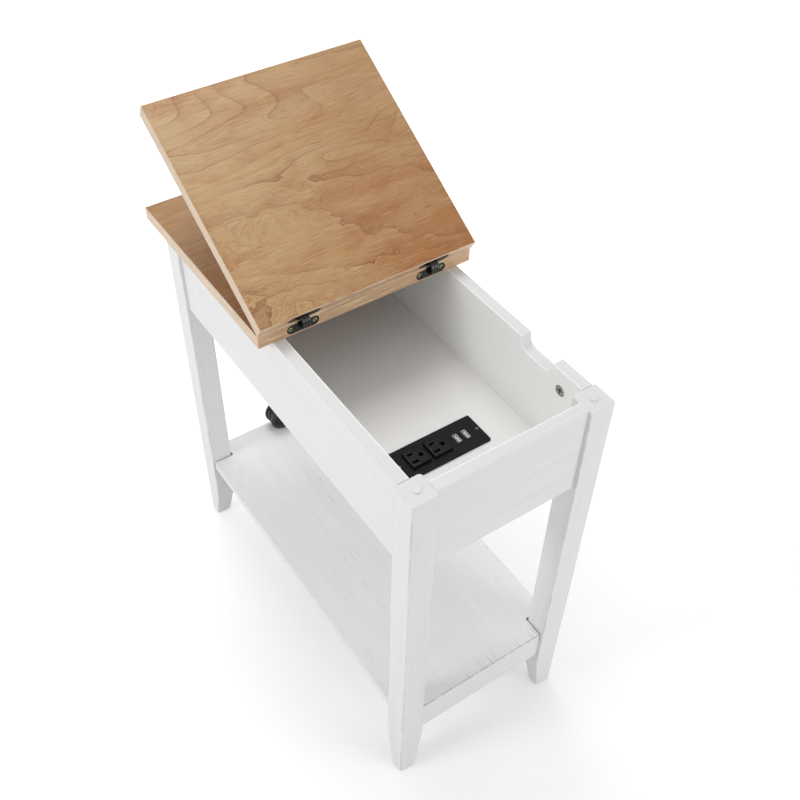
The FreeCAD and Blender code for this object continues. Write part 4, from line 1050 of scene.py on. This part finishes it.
# %% Mix boards, plastics and rubber
finishes = {
    "box_board": grained("foiled_board", (0.890, 0.885, 0.877), (0.925, 0.920, 0.912), 260, 0.42,
                         strength=0.05),
    "dowel_wood": grained("beech", (0.52, 0.36, 0.20), (0.68, 0.50, 0.31), 200, 0.6, stretch=(1, 6, 6)),
    "glide_plastic": grained("glide_plastic", (0.035, 0.03, 0.028), (0.07, 0.06, 0.055), 900, 0.5),
    "bumper_rubber": grained("bumper_rubber", (0.745, 0.740, 0.705), (0.795, 0.790, 0.755), 700, 0.40,
                             gloss=0.3),
    "black_plastic": grained("spark_plastic", (0.001, 0.001, 0.002), (0.020, 0.020, 0.024), 720, 0.58,
                             depth=0.0001, strength=0.5, gloss=0.16),
    "socket_plastic": grained("socket_plastic", (0.005, 0.005, 0.005), (0.010, 0.010, 0.010), 900, 0.46,
                              gloss=0.20),
    "usb_white": grained("port_white", (0.93, 0.92, 0.90), (0.97, 0.96, 0.94), 600, 0.4),
    "board_green": grained("solder_mask", (0.012, 0.10, 0.035), (0.02, 0.15, 0.05), 500, 0.35),
    "cord_black": grained("lead_rubber", (0.010, 0.010, 0.010), (0.022, 0.022, 0.022), 1100, 0.42),
}
print("boards, plastics and rubber:", len(finishes))

# %% [markdown]
# The metals come next. The last number says how much of a metal the surface is: blackened steel
# shows its coat more than its metal.

# %% Mix the metals
metals = {
    "cam_zinc": grained("cast_zinc", (0.48, 0.49, 0.485), (0.64, 0.65, 0.64), 900, 0.34, 0.85),
    "steel": grained("plated_steel", (0.50, 0.50, 0.50), (0.66, 0.66, 0.65), 1200, 0.32, 1.0),
    "hinge_black": grained("hinge_black", (0.005, 0.005, 0.006), (0.018, 0.018, 0.018), 800, 0.36, 0.2),
    "link_steel": grained("link_steel", (0.030, 0.030, 0.032), (0.085, 0.085, 0.085), 800, 0.34, 0.7),
    "screw_brass": grained("plated_brass", (0.48, 0.42, 0.24), (0.66, 0.60, 0.38), 900, 0.34, 1.0),
    "contact_brass": grained("contact_brass", (0.55, 0.40, 0.18), (0.72, 0.55, 0.28), 700, 0.3, 1.0),
    "plate_screw": grained("blued_screw", (0.14, 0.14, 0.145), (0.28, 0.28, 0.285), 900, 0.24, 1.0),
    "plug_nickel": grained("plated_nickel", (0.60, 0.57, 0.50), (0.72, 0.70, 0.63), 900, 0.24, 1.0),
}
finishes.update(metals)
print("metals:", len(metals))

# %% [markdown]
# A charging port is a folded steel shell. Its rim is painted bright, a painted highlight where it
# catches the light, and below the rim it is painted dark, a painted shade inside the shell, so this
# finish changes with the height under the port's own top.

# %% Mix the charging ports' finish
RIM_STARTS, RIM_FULL = 0.00125, 0.00055
SHELL_PAINTED_SHADE_DARK, SHELL_PAINTED_SHADE_GREY = (0.02, 0.02, 0.02), (0.05, 0.05, 0.05)
RIM_HIGHLIGHT_GREY, RIM_HIGHLIGHT_BRIGHT = (0.80, 0.79, 0.77), (0.94, 0.93, 0.91)
port_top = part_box("usb_shells")[1].z
port = Finish("port_rim", 0.30, Metallic=0.5)
port_place, port_parts = port.place()
brushed = port.noise(port_place, (900, 900, 300), 3, 0.6)
rim = port.between(port_parts[2], port_top - RIM_STARTS, port_top - RIM_FULL)
shell_shade_colour = port.mix(brushed, SHELL_PAINTED_SHADE_DARK, SHELL_PAINTED_SHADE_GREY)
rim_highlight_colour = port.mix(brushed, RIM_HIGHLIGHT_GREY, RIM_HIGHLIGHT_BRIGHT)
# Painted highlight on the rim, painted shade below it.
port.set(Base_Color=port.mix(rim, shell_shade_colour, rim_highlight_colour), Metallic=rim * 0.5,
         Roughness=0.60 - rim * 0.30 + brushed * 0.06)
finishes["usb_steel"] = port.material
print("ports' top at", port_top)

# %% [markdown]
# ## Putting the finishes on
# Each solid names its finish in the record. The painted boards also need to know which way their
# grain runs, and the hinges' links and the faceplate's screws have metals of their own.

# %% Assign the finishes
GRAIN = {
    "leg_front_left": "Z", "leg_front_right": "Z", "leg_back_left": "Z", "leg_back_right": "Z",
    "apron_front": "X", "apron_back": "X", "apron_left": "Y", "apron_right": "Y",
    "shelf_panel": "shelf", "shelf_rail_front": "rail", "shelf_rail_back": "rail",
}
OWN_FINISH = {
    "fixed_top": fixed_veneer, "lid": lid_veneer, "faceplate_screws": finishes["plate_screw"],
    "hinge_link_left": finishes["link_steel"], "hinge_link_right": finishes["link_steel"],
}
slots = {row["node"]: row["material_slot"] for row in frame["record"]["subparts"]}


def paint_piece(piece, material):
    piece.data.materials.clear()
    piece.data.materials.append(material)


for name, piece in nodes.items():
    if name in GRAIN:
        paint_piece(piece, painted[GRAIN[name]])
    elif name in OWN_FINISH:
        paint_piece(piece, OWN_FINISH[name])
    else:
        paint_piece(piece, finishes[slots[name]])
print("finishes on", len(nodes), "solids")

# %% [markdown]
# The pieces that were modelled again wear what the solids they stand for would have worn.

# %% Finish the remodelled pieces
for piece in (power_lead, plug, strain_relief):
    paint_piece(piece, finishes["cord_black"])
for piece in sockets:
    paint_piece(piece, finishes["socket_plastic"])
paint_piece(cams, finishes["cam_zinc"])
for name in ("hinge_screws_fixed_cut", "hinge_screws_lid_cut"):
    paint_piece(bpy.data.objects[name], finishes["screw_brass"])
print("remodelled pieces finished")

# %% [markdown]
# ## Floor and light
# The table stands in a white studio. One floor that curves up would do, but a wide flat one is
# enough under a camera that looks down. It has a faint glow of its own, which the camera and
# reflections see and the table doesn't, so that it is white without more light on the table. The
# glow is weakest on the shaded side, and there the shadows stay.

# %% Lay the floor
SHADE_AT = (0.25, -0.35, 0)
GLOW_NEAR, GLOW_FAR = (0.195, 0.195, 0.19), (0.70, 0.70, 0.70)
FLOOR_GREY, FLOOR_WHITE = (0.88, 0.88, 0.875), (0.90, 0.90, 0.895)
floor = fresh(bpy.ops.mesh.primitive_plane_add, "studio_floor", size=16.0, location=(0, 0, 0))
done(floor, 30)
floor_finish = Finish("studio_white", 0.9, Specular_IOR_Level=0.2)
seen = floor_finish.node("LightPath", output="Is Camera Ray")
mirrored = floor_finish.node("LightPath", output="Is Glossy Ray")
through = floor_finish.node("LightPath", output="Is Transmission Ray")
floor_place = floor_finish.place()[0]
tone = floor_finish.noise(floor_place, (3, 3, 3), 2)
from_shade = floor_finish.node("VectorMath", {"operation": "SUBTRACT"}, floor_place, SHADE_AT)
away = floor_finish.node("VectorMath", {"operation": "LENGTH"}, from_shade, output="Value")
glow = floor_finish.mix(floor_finish.between(away, 0.35, 1.5), GLOW_NEAR, GLOW_FAR)
floor_finish.set(Base_Color=floor_finish.mix(tone, FLOOR_GREY, FLOOR_WHITE), Emission_Color=glow,
                 Emission_Strength=seen + mirrored + through)
paint_piece(floor, floor_finish.material)

# %% [markdown]
# Four soft boxes light the table. The key stands on the left, so that light falls into the open
# box from the side and each leg throws a soft shadow to the right. A lower one beside it reaches
# under the shelf. The one overhead stands behind the table: the far end of the box stays shaded,
# and the veneer shows a sheen. The front one fills the faces that look at the viewer.

# %% Set up the soft boxes
def soft_box(name, place, aim, size, watts, colour):
    """A square lamp at a place, turned to an aim."""
    lamp = bpy.data.objects.new(name, bpy.data.lights.new(name, "AREA"))
    bpy.context.scene.collection.objects.link(lamp)
    lamp.data.shape = "SQUARE"
    lamp.data.size = size
    lamp.data.energy = watts
    lamp.data.color = colour
    lamp.location = place
    lamp.rotation_euler = (Vector(aim) - Vector(place)).to_track_quat("-Z", "Y").to_euler()
    return lamp


soft_box("key", (-2.4, 0.2, 1.75), (0, 0, 0.4), 0.8, 16, (1.0, 0.985, 0.97))
soft_box("low", (-2.2, 0.15, 0.38), (0, 0, 0.25), 0.7, 4.4, (1.0, 0.995, 0.985))
soft_box("overhead", (0.25, 0.75, 2.55), (0.1, 0.1, 0.5), 1.1, 15.8, (1.0, 0.995, 0.98))
soft_box("front", (1.1, -2.1, 0.8), (0, 0, 0.35), 1.2, 12.8, (0.975, 0.965, 1.0))
print("soft boxes set up")

# %% [markdown]
# The rest of the light comes from an even sky. It is dimmed on the table, and white where the
# camera looks straight at it or through something clear.

# %% Light the sky
SKY_ON_TABLE = 0.61
world = bpy.data.worlds.new("studio")
bpy.context.scene.world = world
world.use_nodes = True
sky = NodeSet(world.node_tree)
straight = sky.node("LightPath", output="Is Camera Ray")
clear = sky.node("LightPath", output="Is Transmission Ray")
strength = sky.node("MapRange", {}, straight.larger(clear), 0.0, 1.0, SKY_ON_TABLE, 1.0)
background = world.node_tree.nodes["Background"]
sky.feed(background.inputs["Strength"], strength)
sky.feed(background.inputs["Color"], (1.0, 1.0, 1.0, 1.0))
bpy.context.scene.view_settings.view_transform = "Standard"
print("sky at", SKY_ON_TABLE)
